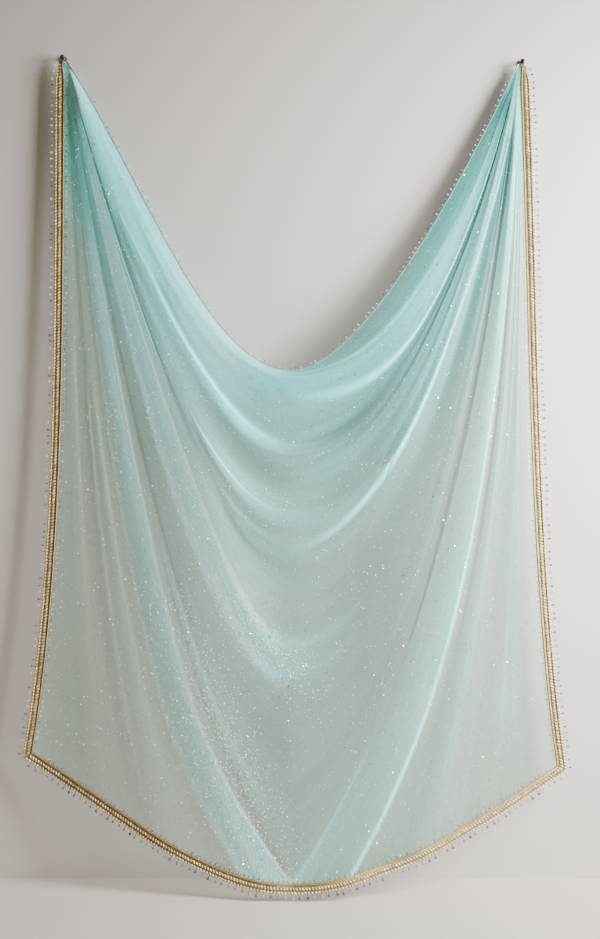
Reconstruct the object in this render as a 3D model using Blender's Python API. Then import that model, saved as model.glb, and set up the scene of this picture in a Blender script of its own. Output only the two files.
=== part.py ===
"""Dupatta stole: a sheer net cloth with gold gota lace on three edges, hung by its two upper
corners from two wall hooks.

Metres, +Z up. X runs to the right along the wall, the wall is the plane y = 0, and the cloth
hangs on its -Y side. The origin is the centre of the left hook's wall plate, on the wall.

The cloth is drawn as two fans of folds, one from each hook. A fold of the upper part swings
across and meets its partner from the other hook on the middle line, as a U. The other folds
run down to the hem. Every point of the cloth is a place in front view plus a distance from
the wall, and the lace, picots and edging are made from the cloth's own points, moved out.
"""

import math
from collections import namedtuple

import bmesh
import bpy
import numpy as np
from mathutils import Vector

# ---------------------------------------------------------------- driving sizes
# The hooks' places, the cloth's distance from the wall at them, and the thin gaps.
HOOK_SPACING = 0.9595
RIGHT_HOOK_DROP = 0.0085
CLOTH_HANG_DEPTH = 0.015
CLOTH_WALL = 0.0013
SEAM_GAP = 0.0003
WELD = 0.00001
LACE_LIFT = 0.0005
MITRE_GAP = 0.0007

# The gathered head of the cloth at a hook, measured out from the hook towards the middle.
HEAD_DROP = 0.0066
HEAD_SIDE = 0.0
HEAD_TOP = 0.009

# The gold lace: its full width, its width where it is folded at a hook, how far down the
# side the fold takes to open out, the share of it that opens outwards, and where the open
# lace's outer edge would meet the hook's height.
LACE_WIDTH = 0.020
LACE_HEAD_WIDTH = 0.008
LACE_OPENS_OVER = 0.045
LACE_OPENS_OUT = 0.6
LACE_OUTER_X = -0.0152

# Where the cloth ends: the bottom corners, the lowest point of the hem, and the middle line.
MIDDLE_X = 0.480
HEM_BOTTOM_Z = -1.704
LEFT_CORNER = (-0.080, -1.456)
RIGHT_CORNER = (1.049, -1.483)

# Pulls of the two arcs that draw the hem: at the corner and at the bottom.
HEM_SLOPE_LEFT = -30.5
HEM_SLOPE_RIGHT = -33.0
HEM_CORNER_PULL = (0.30, 0.22)
HEM_BOTTOM_PULL = (0.16, 0.17)

# Distance of the unfolded cloth from the wall: along its sides, and along the middle.
SIDE_DEPTH_GAIN = 0.017
MIDDLE_DEPTH = 0.030
MIDDLE_DEPTH_GAIN = 0.0765
HALF_SPREAD = 0.480
HALF_SPREAD_GAIN = 0.040
SPREAD_CENTRE_X = 0.485
BELLY_ROUNDING = 1.5

# The folds: the share of a fold line that the arm takes, the room that the wall itself needs
# between two folds and the least that is left of it, how steep a fold may be, and how the
# lace pushes the lines near it aside.
ARM_REACH = 0.6
GATHER_LIMIT = 0.0025
LEAST_ROOM = 0.00003
STEEPEST_FOLD = 0.9
LACE_PUSH = 1.2

# How finely the cloth is divided: across each fold and down its length.
COLUMNS_PER_FOLD = 2
COLUMNS_BESIDE_BORDER = 4
LENGTHS = 22
LENGTHS_CROWD_TO_HOOK = 1.15

# The lace's section: place across it from the outer edge, and height of its face.
LACE_SECTION = (
    (0.00, 0.0009),
    (0.13, 0.0021),
    (0.28, 0.0010),
    (0.50, 0.0021),
    (0.72, 0.0010),
    (0.87, 0.0021),
    (1.00, 0.0009),
)

# Picots: a cord along the lace's outer edge with small prongs, each with a wider tip.
PICOT_CORD = 0.0013
PICOT_BASE = 0.0020
PICOT_PITCH = 0.029
PICOT_STALK = 0.0070
PICOT_STALK_TAPER = 0.75
PICOT_TIP = 0.0022
PICOT_TIP_FLARE = 2.1

# The fine edging along the top edge.
EDGING_GAP = 0.0008
EDGING_WIDTH = 0.0026
EDGING_HEIGHT = 0.0014

# The hooks: radii and distances from the wall.
PLATE_RADIUS = 0.0070
PLATE_RIM_RADIUS = 0.0060
PLATE_RIM_START = 0.0021
PLATE_THICKNESS = 0.0030
SHANK_RADIUS = 0.0020
KNOB_START = 0.0195
KNOB_RADIUS = 0.0046
KNOB_RINGS = 6
HOOK_SIDES = 20

# The corner loop: a ring over the shank.
LOOP_CORD_RADIUS = 0.0009
LOOP_INNER_RADIUS = 0.0034
LOOP_SEGMENTS = 20
LOOP_SIDES = 6

# ---------------------------------------------------------------- folds
# One row for each crest or trough, from the top edge round to the side border.
#   lands   where it ends: the height on the middle line, or, for the rows after "hem
#           middle", how far along the half hem from the corner (0) to the bottom (1)
#   leave   its lean off plumb at the hook, in degrees towards the middle
#   pull    how far it keeps that direction
#   arrive  its lean off plumb at its end, in degrees
#   settle  how far it keeps that one
#   arm, belly, end   height towards the room near the hook, half way and at the end, mm
Fold = namedtuple("Fold", "name lands leave pull arrive settle arm belly end")

LEFT_FOLDS = (
    Fold("top edge", -0.657, 32.0, 0.350, 90.0, 0.170, -7, -6, -4),
    Fold("crest under top edge", -0.678, 27.0, 0.290, 90.0, 0.185, 15, 18, 16),
    Fold("first trough", -0.794, 23.5, 0.270, 90.0, 0.180, -11, -16, -18),
    Fold("second crest", -0.835, 20.5, 0.250, 90.0, 0.200, 10, 20, 24),
    Fold("second trough", -0.912, 18.5, 0.260, 90.0, 0.205, -3, -8, -14),
    Fold("third crest", -0.980, 17.0, 0.290, 90.0, 0.200, 3, 6, 15),
    Fold("deep trough", -1.103, 15.3, 0.340, 90.0, 0.150, -14, -16, -14),
    Fold("long crest", -1.283, 13.3, 0.350, 90.0, 0.115, 16, 24, 18),
    Fold("trough below it", -1.500, 11.0, 0.400, 52.0, 0.280, -12, -16, -8),
    Fold("hem middle", -1.684, 9.0, 0.460, 33.0, 0.450, -4, -4, 0),
    Fold("falling crest", 0.88, 7.0, 0.440, 34.0, 0.430, 18, 24, 9),
    Fold("falling trough", 0.64, 5.4, 0.460, 25.0, 0.500, -8, -12, -7),
    Fold("side ridge", 0.44, 4.0, 0.470, 15.5, 0.520, 5, 8, 6),
    Fold("side trough", 0.31, 2.8, 0.490, 10.0, 0.520, -3, -5, -4),
    Fold("border ridge", 0.19, 1.6, 0.510, 7.0, 0.520, 3, 4, 3),
    Fold("border", 0.0, -0.5, 0.470, -10.0, 0.440, 0, 0, 0),
)

RIGHT_FOLDS = (
    Fold("top edge", -0.657, 25.0, 0.200, 90.0, 0.150, -7, -6, -4),
    Fold("crest under top edge", -0.678, 19.5, 0.270, 90.0, 0.250, 16, 20, 16),
    Fold("first trough", -0.794, 16.0, 0.260, 90.0, 0.240, -12, -16, -18),
    Fold("second crest", -0.835, 13.8, 0.260, 90.0, 0.245, 13, 20, 24),
    Fold("second trough", -0.912, 12.2, 0.265, 90.0, 0.255, 3, -2, -14),
    Fold("third crest", -0.980, 10.8, 0.290, 90.0, 0.258, 13, 15, 15),
    Fold("deep trough", -1.103, 9.2, 0.360, 90.0, 0.262, -15, -16, -14),
    Fold("long crest", -1.283, 7.8, 0.440, 90.0, 0.259, -6, 0, 18),
    Fold("trough below it", -1.500, 6.6, 0.500, 52.0, 0.380, -10, -12, -8),
    Fold("hem middle", -1.684, 5.4, 0.560, 35.0, 0.550, 0, -4, 0),
    Fold("falling crest", 0.80, 4.2, 0.590, 28.0, 0.600, 19, 26, 9),
    Fold("falling trough", 0.64, 2.8, 0.600, 22.0, 0.620, -9, -14, -7),
    Fold("side ridge", 0.50, 1.4, 0.580, 15.6, 0.570, 6, 9, 6),
    Fold("side trough", 0.37, 0.2, 0.570, 10.0, 0.570, -3, -5, -4),
    Fold("border ridge", 0.25, -1.2, 0.545, 4.5, 0.540, 3, 4, 3),
    Fold("border", 0.0, -2.2, 0.510, -8.5, 0.420, 0, 0, 0),
)

HEM_MIDDLE_ROW = [row.name for row in LEFT_FOLDS].index("hem middle")
LAST_ROW = len(LEFT_FOLDS) - 1

# One side of the cloth: its hook, which way the middle lies, its folds and its corner.
Side = namedtuple("Side", "name hook inward folds corner hem_slope corner_pull bottom_pull")

SIDES = (
    Side(
        "left",
        np.array([0.0, 0.0]),
        1.0,
        LEFT_FOLDS,
        np.array(LEFT_CORNER),
        HEM_SLOPE_LEFT,
        HEM_CORNER_PULL[0],
        HEM_BOTTOM_PULL[0],
    ),
    Side(
        "right",
        np.array([HOOK_SPACING, -RIGHT_HOOK_DROP]),
        -1.0,
        RIGHT_FOLDS,
        np.array(RIGHT_CORNER),
        HEM_SLOPE_RIGHT,
        HEM_CORNER_PULL[1],
        HEM_BOTTOM_PULL[1],
    ),
)


# ---------------------------------------------------------------- curves
def smooth_between(values, at):
    """Read a row of values at a fractional place, smoothly and with no overshoot."""
    values = [float(v) for v in values]
    i = min(int(at), len(values) - 2)
    slopes = []
    for k in (i, i + 1):
        before = values[k] - values[k - 1] if k > 0 else values[1] - values[0]
        after = values[k + 1] - values[k] if k + 1 < len(values) else before
        flat = before * after <= 0
        slopes.append(0.0 if flat else 2 * before * after / (before + after))
    f = at - i
    rise = f * f * (3 - 2 * f)
    start = f * (1 - f) ** 2
    finish = f * f * (f - 1)
    return values[i] * (1 - rise) + values[i + 1] * rise + slopes[0] * start + slopes[1] * finish


def smooth_step(x):
    x = min(max(x, 0.0), 1.0)
    return x * x * (3 - 2 * x)


def arc(points, f):
    """A cubic Bezier curve's point at f."""
    a, b, c, d = points
    g = 1 - f
    return a * g**3 + b * (3 * g * g * f) + c * (3 * g * f * f) + d * f**3


def lean(side, degrees):
    """The direction in front view that leans off plumb by this much towards the middle."""
    angle = math.radians(degrees)
    return np.array([side.inward * math.sin(angle), -math.cos(angle)])


# ---------------------------------------------------------------- outline
def half_hem(side):
    """The hem's outer edge from a bottom corner to the bottom of the middle line."""
    bottom = np.array([MIDDLE_X, HEM_BOTTOM_Z])
    slope = math.radians(side.hem_slope)
    out = np.array([side.inward * math.cos(slope), math.sin(slope)])
    return (
        side.corner,
        side.corner + out * side.corner_pull,
        bottom - np.array([side.inward, 0.0]) * side.bottom_pull,
        bottom,
    )


def side_edge(side):
    """The outer edge from a hook down to its bottom corner."""
    row = side.folds[LAST_ROW]
    start = side.hook + np.array([side.inward * LACE_OUTER_X, -HEAD_DROP])
    return (
        start,
        start + lean(side, row.leave) * row.pull,
        side.corner - lean(side, row.arrive) * row.settle,
        side.corner,
    )


def mitre_run(side):
    """How far a line moves along the edges at the mitred corner, for each metre inwards."""
    up = -lean(side, side.folds[LAST_ROW].arrive)
    hem = half_hem(side)
    along = (hem[1] - hem[0]) / np.linalg.norm(hem[1] - hem[0])
    half_angle = math.acos(float(up @ along)) / 2
    return 1 / math.tan(half_angle)


def inside_edge(side, curve, f, inwards, corner_at):
    """A point this far inside an edge curve, mitred at the end of it that is the corner."""
    speed = 3 * np.linalg.norm(curve[1] - curve[0] if corner_at == 0 else curve[3] - curve[2])
    run = inwards * mitre_run(side) / speed
    f = f + (1 - f) * run if corner_at == 0 else f - f * run
    step = 1e-4
    ahead = arc(curve, f + step) - arc(curve, f - step)
    across = np.array([-ahead[1], ahead[0]]) * side.inward / np.linalg.norm(ahead)
    return arc(curve, f) + across * inwards


def lace_width(side, f):
    """The lace's width at this place down the side: folded narrow at the hook."""
    curve = side_edge(side)
    fallen = np.linalg.norm(arc(curve, f) - curve[0])
    opened = smooth_step(fallen / LACE_OPENS_OVER)
    return LACE_HEAD_WIDTH + (LACE_WIDTH - LACE_HEAD_WIDTH) * opened


def side_point(side, f, inwards):
    """A point of the side border, a given share of its lace's width in from the edge."""
    width = lace_width(side, f)
    folded_in = (LACE_WIDTH - width) * LACE_OPENS_OUT
    return inside_edge(side, side_edge(side), f, folded_in + inwards * width, 1)


def hem_point(side, f, inwards):
    """A point of the hem border, a given share of the lace's width in from the edge."""
    return inside_edge(side, half_hem(side), f, inwards * LACE_WIDTH, 0)


# ---------------------------------------------------------------- cloth
def resting_depth(x, z):
    """Distance from the wall of the cloth without its folds."""
    drop = max(-z, 0.0)
    at_side = CLOTH_HANG_DEPTH + SIDE_DEPTH_GAIN * drop
    at_middle = max(MIDDLE_DEPTH + MIDDLE_DEPTH_GAIN * drop, at_side)
    spread = abs(x - SPREAD_CENTRE_X) / (HALF_SPREAD + HALF_SPREAD_GAIN * drop)
    return at_side + (at_middle - at_side) * max(0.0, 1 - spread * spread) ** BELLY_ROUNDING


def fold_ends(side, row):
    """Where the fold line at this row, whole or fractional, meets the middle line or hem."""
    lands = [fold.lands for fold in side.folds]
    if row <= HEM_MIDDLE_ROW:
        z = smooth_between(lands[: HEM_MIDDLE_ROW + 1], row)
        return np.array([MIDDLE_X, z])
    return hem_point(side, hem_place(side, row), 1.0)


def hem_place(side, row):
    """How far along the half hem a fold line lands, from 0 at the corner to 1 at the bottom."""
    lands = [1.0] + [fold.lands for fold in side.folds[HEM_MIDDLE_ROW + 1 :]]
    return smooth_between(lands, row - HEM_MIDDLE_ROW)


def beside_lace(side, f):
    """How far the lace's inner edge lies from the plain line of the border row."""
    border = side.folds[LAST_ROW]
    head = side.hook + np.array([side.inward * HEAD_SIDE, -HEAD_DROP])
    foot = side_point(side, 1.0, 1.0)
    leave = lean(side, border.leave) * border.pull
    arrive = lean(side, border.arrive) * border.settle
    return side_point(side, f, 1.0) - arc((head, head + leave, foot - arrive, foot), f)


def fold_place(side, row, f):
    """A place on a fold line in front view: f runs from the hook to the line's end."""
    share = row / LAST_ROW
    head = side.inward * (HEAD_TOP + (HEAD_SIDE - HEAD_TOP) * share)
    start = side.hook + np.array([head, -HEAD_DROP])
    end = fold_ends(side, row)
    leave = lean(side, smooth_between([fold.leave for fold in side.folds], row))
    arrive = lean(side, smooth_between([fold.arrive for fold in side.folds], row))
    pull = smooth_between([fold.pull for fold in side.folds], row)
    settle = smooth_between([fold.settle for fold in side.folds], row)
    place = arc((start, start + leave * pull, end - arrive * settle, end), f)
    return place + beside_lace(side, f) * share**LACE_PUSH


def fold_spacing(side, row, f):
    """The room between two neighbouring folds, square to their lines."""
    step = 1e-3
    start = min(f, 1 - step)
    along = fold_place(side, row, start + step) - fold_place(side, row, start)
    across = fold_place(side, max(row - 0.5, 0.0), f) - fold_place(side, min(row + 0.5, LAST_ROW), f)
    return abs(along[0] * across[1] - along[1] * across[0]) / np.linalg.norm(along)


def fold_height(side, row, f):
    """How far a fold stands out. It is lower where the folds are gathered close together."""
    arm = smooth_between([fold.arm for fold in side.folds], row)
    belly = smooth_between([fold.belly for fold in side.folds], row)
    end = smooth_between([fold.end for fold in side.folds], row)
    height = arm + (belly - arm) * smooth_step(f / ARM_REACH)
    height = (height + (end - height) * smooth_step((f - ARM_REACH) / (1 - ARM_REACH))) / 1000
    room = max(fold_spacing(side, row, f) - GATHER_LIMIT, LEAST_ROOM) * STEEPEST_FOLD
    return height / math.hypot(1.0, height / room)


def fold_point(side, row, f):
    """A point of the cloth on a fold line."""
    x, z = fold_place(side, row, f)
    return Vector((x, -resting_depth(x, z) - fold_height(side, row, f), z))


def border_point(side, f, inwards):
    """A point of the side border in space."""
    x, z = side_point(side, f, inwards)
    return Vector((x, -resting_depth(x, z), z))


def hem_border_point(side, row, inwards):
    """A point of the hem border in space, with the waves that the folds give it."""
    x, z = hem_point(side, hem_place(side, row), inwards)
    wave = smooth_between([fold.end for fold in side.folds], row) / 1000
    return Vector((x, -resting_depth(x, z) - wave, z))


def fold_lines(first=0):
    """The cloth's columns, as places among the folds, from this fold to the border."""
    count = (LAST_ROW - 1 - first) * COLUMNS_PER_FOLD
    lines = [first + k / COLUMNS_PER_FOLD for k in range(count)]
    lines += [LAST_ROW - 1 + k / COLUMNS_BESIDE_BORDER for k in range(COLUMNS_BESIDE_BORDER + 1)]
    return lines


def falls():
    """The cloth's divisions down its folds, closer together near the hook."""
    return [(j / LENGTHS) ** LENGTHS_CROWD_TO_HOOK for j in range(LENGTHS + 1)]


# ---------------------------------------------------------------- making objects
def principled(name, colour, roughness, metallic=0.0):
    material = bpy.data.materials.new(name)
    material.use_nodes = True
    shader = material.node_tree.nodes["Principled BSDF"]
    shader.inputs["Base Color"].default_value = (*colour, 1.0)
    shader.inputs["Roughness"].default_value = roughness
    shader.inputs["Metallic"].default_value = metallic
    return material


def add_object(name, bm, material, smooth=True):
    """Make one closed body of a bmesh, with its faces out."""
    bmesh.ops.recalc_face_normals(bm, faces=bm.faces)
    mesh = bpy.data.meshes.new(name)
    bm.to_mesh(mesh)
    bm.free()
    if smooth:
        mesh.shade_smooth()
        mesh.set_sharp_from_angle(angle=math.radians(40))
    mesh.materials.append(material)
    body = bpy.data.objects.new(name, mesh)
    bpy.context.scene.collection.objects.link(body)
    return body


def add_quads(bm, line_a, line_b):
    """Faces between two lines of the same number of vertices."""
    made = []
    for k in range(len(line_a) - 1):
        made.append(bm.faces.new((line_a[k], line_a[k + 1], line_b[k + 1], line_b[k])))
    return made


def split_alike(bm, faces):
    """Split quads from their first corner, so that lace and cloth bend on the same lines."""
    bmesh.ops.triangulate(bm, faces=faces, quad_method="FIXED")


def loft(rings, closed=False):
    """A tube through rings of points, with its ends capped, or joined round."""
    bm = bmesh.new()
    made = [[bm.verts.new(point) for point in ring] for ring in rings]
    pairs = list(zip(made, made[1:]))
    if closed:
        pairs.append((made[-1], made[0]))
    else:
        bm.faces.new(made[0])
        bm.faces.new(made[-1])
    for ring_a, ring_b in pairs:
        add_quads(bm, [*ring_a, ring_a[0]], [*ring_b, ring_b[0]])
    return bm


# ---------------------------------------------------------------- net panel
def net_panel(material):
    """The whole cloth as one thin wall, from both fans, their borders and the hem."""
    bm = bmesh.new()
    for side in SIDES:
        grid = []
        for row in fold_lines():
            grid.append([bm.verts.new(fold_point(side, row, f)) for f in falls()])
        edge = [bm.verts.new(border_point(side, f, 0.0)) for f in falls()]
        hem_rows = fold_lines(HEM_MIDDLE_ROW)
        hem = [bm.verts.new(hem_border_point(side, row, 0.0)) for row in hem_rows[:-1]]
        hem.append(edge[-1])
        for line_a, line_b in zip(grid, grid[1:]):
            add_quads(bm, line_a, line_b)
        feet = [line[-1] for line in grid[-len(hem_rows) :]]
        if side.inward > 0:
            feet.reverse()
            hem.reverse()
        split_alike(bm, add_quads(bm, grid[-1], edge) + add_quads(bm, feet, hem))
    bmesh.ops.remove_doubles(bm, verts=bm.verts, dist=WELD)
    panel = add_object("net_panel", bm, material)
    wall = panel.modifiers.new("wall", "SOLIDIFY")
    wall.thickness = CLOTH_WALL
    wall.offset = 0.0
    return panel


# ---------------------------------------------------------------- gota lace
def towards_room(across, along):
    """The cloth's normal on the side that faces the room."""
    normal = across.cross(along).normalized()
    return normal if normal.y < 0 else -normal


def edge_frames(outer, inner):
    """At each place of an edge: its point, the way out square to it, and the normal."""
    frames = []
    last = len(outer) - 1
    for k, point in enumerate(outer):
        along = (outer[min(k + 1, last)] - outer[max(k - 1, 0)]).normalized()
        outward = point - inner[k]
        outward = (outward - along * outward.dot(along)).normalized()
        frames.append((point, outward, towards_room(outward, along)))
    return frames


def shortened(points, gap):
    """The same line with both of its ends drawn in by this much."""
    points = list(points)
    points[0] = points[0] + (points[1] - points[0]).normalized() * gap
    points[-1] = points[-1] + (points[-2] - points[-1]).normalized() * gap
    return points


def side_border(side):
    outer = [border_point(side, f, 0.0) for f in falls()]
    inner = [fold_point(side, LAST_ROW, f) for f in falls()]
    return outer, inner


def hem_border():
    """The hem's outer and inner lines, from the left corner to the right one."""
    outer = []
    inner = []
    for side in SIDES:
        rows = fold_lines(HEM_MIDDLE_ROW)
        half_outer = [hem_border_point(side, row, 0.0) for row in rows]
        half_inner = [fold_point(side, row, 1.0) for row in rows]
        if side.inward > 0:
            half_outer.reverse()
            half_inner.reverse()
        else:
            half_outer = half_outer[1:]
            half_inner = half_inner[1:]
        outer += half_outer
        inner += half_inner
    return outer, inner


def lace_strip(name, border, material):
    """A strip of gota lace over a border: two cords and a braid raised on a flat band."""
    outer, inner = (shortened(line, MITRE_GAP) for line in border)
    back = CLOTH_WALL / 2 + LACE_LIFT
    rings = []
    for k, (point, _, normal) in enumerate(edge_frames(outer, inner)):
        ring = [point.lerp(inner[k], share) + normal * (back + high) for share, high in LACE_SECTION]
        ring += [inner[k] + normal * back, point + normal * back]
        rings.append(ring)
    bm = loft(rings)
    split_alike(bm, bm.faces)
    return add_object(name, bm, material)


# ---------------------------------------------------------------- picots
def along_line(frames, distance):
    """The edge's frame at a distance along it."""
    for (point, outward, normal), (next_point, next_outward, next_normal) in zip(frames, frames[1:]):
        length = (next_point - point).length
        if distance <= length:
            break
        distance -= length
    share = min(distance / length, 1.0)
    return (
        point.lerp(next_point, share),
        outward.lerp(next_outward, share).normalized(),
        normal.lerp(next_normal, share).normalized(),
    )


def picot_comb(name, border, material):
    """A cord along the lace's outer edge whose picots are drawn out of its outer side."""
    frames = edge_frames(*border)
    corners = [0.0]
    for (point, _, _), (next_point, _, _) in zip(frames, frames[1:]):
        corners.append(corners[-1] + (next_point - point).length)
    length = corners[-1]
    count = int(length / PICOT_PITCH)
    middles = [(k + 0.5) * length / count for k in range(count)]
    places = [SEAM_GAP, length - SEAM_GAP]
    places += [middle + half for middle in middles for half in (-PICOT_BASE / 2, PICOT_BASE / 2)]
    for corner in corners[1:-1]:
        if min(abs(corner - middle) for middle in middles) > PICOT_BASE:
            places.append(corner)
    rings = []
    for place in sorted(places):
        point, outward, normal = along_line(frames, place)
        near = point + outward * SEAM_GAP + normal * (CLOTH_WALL / 2 + LACE_LIFT)
        far = near + outward * PICOT_CORD
        rings.append([near, near + normal * PICOT_CORD, far + normal * PICOT_CORD, far])
    bm = loft(rings)
    bm.normal_update()
    bmesh.ops.recalc_face_normals(bm, faces=bm.faces)
    bm.faces.ensure_lookup_table()
    roots = []
    for middle in middles:
        point, outward, normal = along_line(frames, middle)
        lift = CLOTH_WALL / 2 + LACE_LIFT + PICOT_CORD / 2
        root = point + outward * (SEAM_GAP + PICOT_CORD) + normal * lift
        roots.append(min(bm.faces, key=lambda face: (face.calc_center_median() - root).length))
    draw_out(bm, roots, PICOT_STALK, PICOT_STALK_TAPER)
    draw_out(bm, roots, PICOT_TIP, PICOT_TIP_FLARE)
    return add_object(name, bm, material, smooth=False)


def draw_out(bm, faces, length, widening):
    """Extrude each face along its normal and widen its end. The list keeps the new ends."""
    drawn = bmesh.ops.extrude_discrete_faces(bm, faces=faces)["faces"]
    for face in drawn:
        middle = face.calc_center_median()
        step = face.normal * length
        for vert in face.verts:
            vert.co = middle + (vert.co - middle) * widening + step
    faces[:] = drawn


# ---------------------------------------------------------------- top edging
def top_edging(material):
    """The fine edging along the top edge, from hook to hook."""
    outer = []
    inner = []
    for side in SIDES:
        edge = [fold_point(side, 0.0, f) for f in falls()]
        next_in = [fold_point(side, 1.0 / COLUMNS_PER_FOLD, f) for f in falls()]
        if side.inward < 0:
            edge = edge[-2::-1]
            next_in = next_in[-2::-1]
        outer += edge
        inner += next_in
    rings = []
    for point, outward, normal in edge_frames(outer, inner):
        near = point + outward * EDGING_GAP
        far = near + outward * EDGING_WIDTH
        rise = normal * EDGING_HEIGHT / 2
        rings.append([near - rise, near + rise, far + rise, far - rise])
    return add_object("picot_top", loft(rings), material)


# ---------------------------------------------------------------- hooks and loops
def ring_of_points(centre, axis_u, axis_v, radius, count):
    turn = 2 * math.pi / count
    return [
        centre + (axis_u * math.cos(k * turn) + axis_v * math.sin(k * turn)) * radius
        for k in range(count)
    ]


def hook_profile():
    """The hook's outline as (distance from the wall, radius), from the plate to the knob."""
    profile = [
        (0.0, PLATE_RADIUS),
        (PLATE_RIM_START, PLATE_RADIUS),
        (PLATE_THICKNESS, PLATE_RIM_RADIUS),
        (PLATE_THICKNESS, SHANK_RADIUS),
        (KNOB_START, SHANK_RADIUS),
    ]
    start = math.asin(SHANK_RADIUS / KNOB_RADIUS)
    centre = KNOB_START + KNOB_RADIUS * math.cos(start)
    for k in range(1, KNOB_RINGS + 1):
        angle = start + (math.pi - start) * k / (KNOB_RINGS + 1)
        profile.append((centre - KNOB_RADIUS * math.cos(angle), KNOB_RADIUS * math.sin(angle)))
    return profile


def wall_hook(side, material):
    """A wall hook turned in one piece: plate, shank and round knob."""
    x, z = side.hook
    right = Vector((1, 0, 0))
    up = Vector((0, 0, 1))
    rings = [
        ring_of_points(Vector((x, -distance, z)), right, up, radius, HOOK_SIDES)
        for distance, radius in hook_profile()
    ]
    return add_object(f"hook_{side.name}", loft(rings), material)


def corner_loop(side, material):
    """The gold loop at the cloth's corner: a ring that hangs on the hook's shank."""
    x, z = side.hook
    radius = LOOP_INNER_RADIUS + LOOP_CORD_RADIUS
    centre = Vector((x, -CLOTH_HANG_DEPTH, z + SHANK_RADIUS + SEAM_GAP - LOOP_INNER_RADIUS))
    room = Vector((0, -1, 0))
    rings = []
    for k in range(LOOP_SEGMENTS):
        angle = 2 * math.pi * k / LOOP_SEGMENTS
        out = Vector((math.cos(angle), 0, math.sin(angle)))
        rings.append(ring_of_points(centre + out * radius, out, room, LOOP_CORD_RADIUS, LOOP_SIDES))
    return add_object(f"loop_{side.name}", loft(rings, closed=True), material)


# ---------------------------------------------------------------- the stole
def clear_scene():
    for item in list(bpy.data.objects):
        bpy.data.objects.remove(item, do_unlink=True)


def build():
    clear_scene()
    net = principled("aqua glitter net", (0.42, 0.66, 0.62), 0.55)
    edging = principled("aqua picot edging", (0.55, 0.74, 0.70), 0.60)
    gold = principled("gold gota", (0.62, 0.47, 0.25), 0.38, 0.8)
    dark = principled("dark bronze", (0.10, 0.07, 0.05), 0.35, 0.9)

    net_panel(net)
    top_edging(edging)
    borders = {side.name: side_border(side) for side in SIDES}
    borders["hem"] = hem_border()
    for name, border in borders.items():
        lace_strip(f"gota_{name}", border, gold)
        picot_comb(f"picot_{name}", border, gold)
    for side in SIDES:
        wall_hook(side, dark)
        corner_loop(side, gold)


build()
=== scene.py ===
# %% [markdown]
# # A dupatta stole on two wall hooks
#
# A dupatta is a large sheer cloth that is worn over the shoulders. This one is a glitter net
# with a gold lace, called gota, along its two sides and its hem. It hangs by its two upper
# corners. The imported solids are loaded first, because every piece here is fitted to them.

import math
from collections import namedtuple

import bmesh
import bpy
import numpy as np
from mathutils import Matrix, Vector


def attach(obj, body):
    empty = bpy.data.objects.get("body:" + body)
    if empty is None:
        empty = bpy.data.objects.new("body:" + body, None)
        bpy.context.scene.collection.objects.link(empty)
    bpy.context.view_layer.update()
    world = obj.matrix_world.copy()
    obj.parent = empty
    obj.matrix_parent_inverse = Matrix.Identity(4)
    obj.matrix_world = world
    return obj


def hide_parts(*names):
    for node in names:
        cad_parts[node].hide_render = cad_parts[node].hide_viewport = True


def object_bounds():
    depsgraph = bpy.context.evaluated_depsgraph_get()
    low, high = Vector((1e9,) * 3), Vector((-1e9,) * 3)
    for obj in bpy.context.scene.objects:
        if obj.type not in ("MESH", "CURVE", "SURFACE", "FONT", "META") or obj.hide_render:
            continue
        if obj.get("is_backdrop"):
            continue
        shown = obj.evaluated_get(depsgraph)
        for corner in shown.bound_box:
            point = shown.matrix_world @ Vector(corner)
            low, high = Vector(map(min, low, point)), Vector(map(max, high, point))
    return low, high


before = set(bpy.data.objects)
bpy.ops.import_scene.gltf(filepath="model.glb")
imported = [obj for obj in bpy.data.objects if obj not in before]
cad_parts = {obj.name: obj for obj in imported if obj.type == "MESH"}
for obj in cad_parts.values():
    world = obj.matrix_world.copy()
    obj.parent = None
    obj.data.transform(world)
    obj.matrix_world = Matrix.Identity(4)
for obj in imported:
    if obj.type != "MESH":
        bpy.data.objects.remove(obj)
cad_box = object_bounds()
print("nodes:", sorted(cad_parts))
print("solid box:", [[round(value, 3) for value in corner] for corner in cad_box])

# %% Making objects
def add_object(name, data):
    """Put an object with this data in the scene."""
    made = bpy.data.objects.new(name, data)
    bpy.context.scene.collection.objects.link(made)
    return made


def new_piece(name, points, faces, material, smooth=True):
    """Put a mesh object with these points and faces in the scene."""
    mesh = bpy.data.meshes.new(name)
    mesh.from_pydata([tuple(p) for p in np.asarray(points).tolist()], [], faces)
    mesh.validate()
    mesh.polygons.foreach_set("use_smooth", [smooth] * len(mesh.polygons))
    mesh.materials.append(material)
    return add_object(name, mesh)


# %% [markdown]
# ## Camera
#
# The cloth is seen straight on from three metres away, at a little under half of its height.
# The lens is worked out from the size of the view at the wall, for a picture 600 by 939.

# %% Camera
VIEW_DISTANCE = 3.0
VIEW_CENTRE = (0.4956, -0.860)
METRES_PER_PIXEL = 0.0021
PICTURE_HEIGHT = 939
SENSOR_HEIGHT = 36.0

camera_data = bpy.data.cameras.new("camera")
camera_data.sensor_fit = "VERTICAL"
camera_data.sensor_height = SENSOR_HEIGHT
camera_data.lens = SENSOR_HEIGHT * VIEW_DISTANCE / (METRES_PER_PIXEL * PICTURE_HEIGHT)
camera = add_object("camera", camera_data)
camera.location = (VIEW_CENTRE[0], -VIEW_DISTANCE, VIEW_CENTRE[1])
camera.rotation_euler = (math.radians(90), 0, 0)
bpy.context.scene.camera = camera
print("lens:", round(camera_data.lens, 2), "mm")

# %% [markdown]
# ## Shader sums
#
# A material is a graph of nodes. Writing sums as Python expressions is easier to read than
# wiring each Math node by hand, so a small class wraps a node's output and turns `1 - mask`
# into the Math node that does the same. A second class holds one material.

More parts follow.
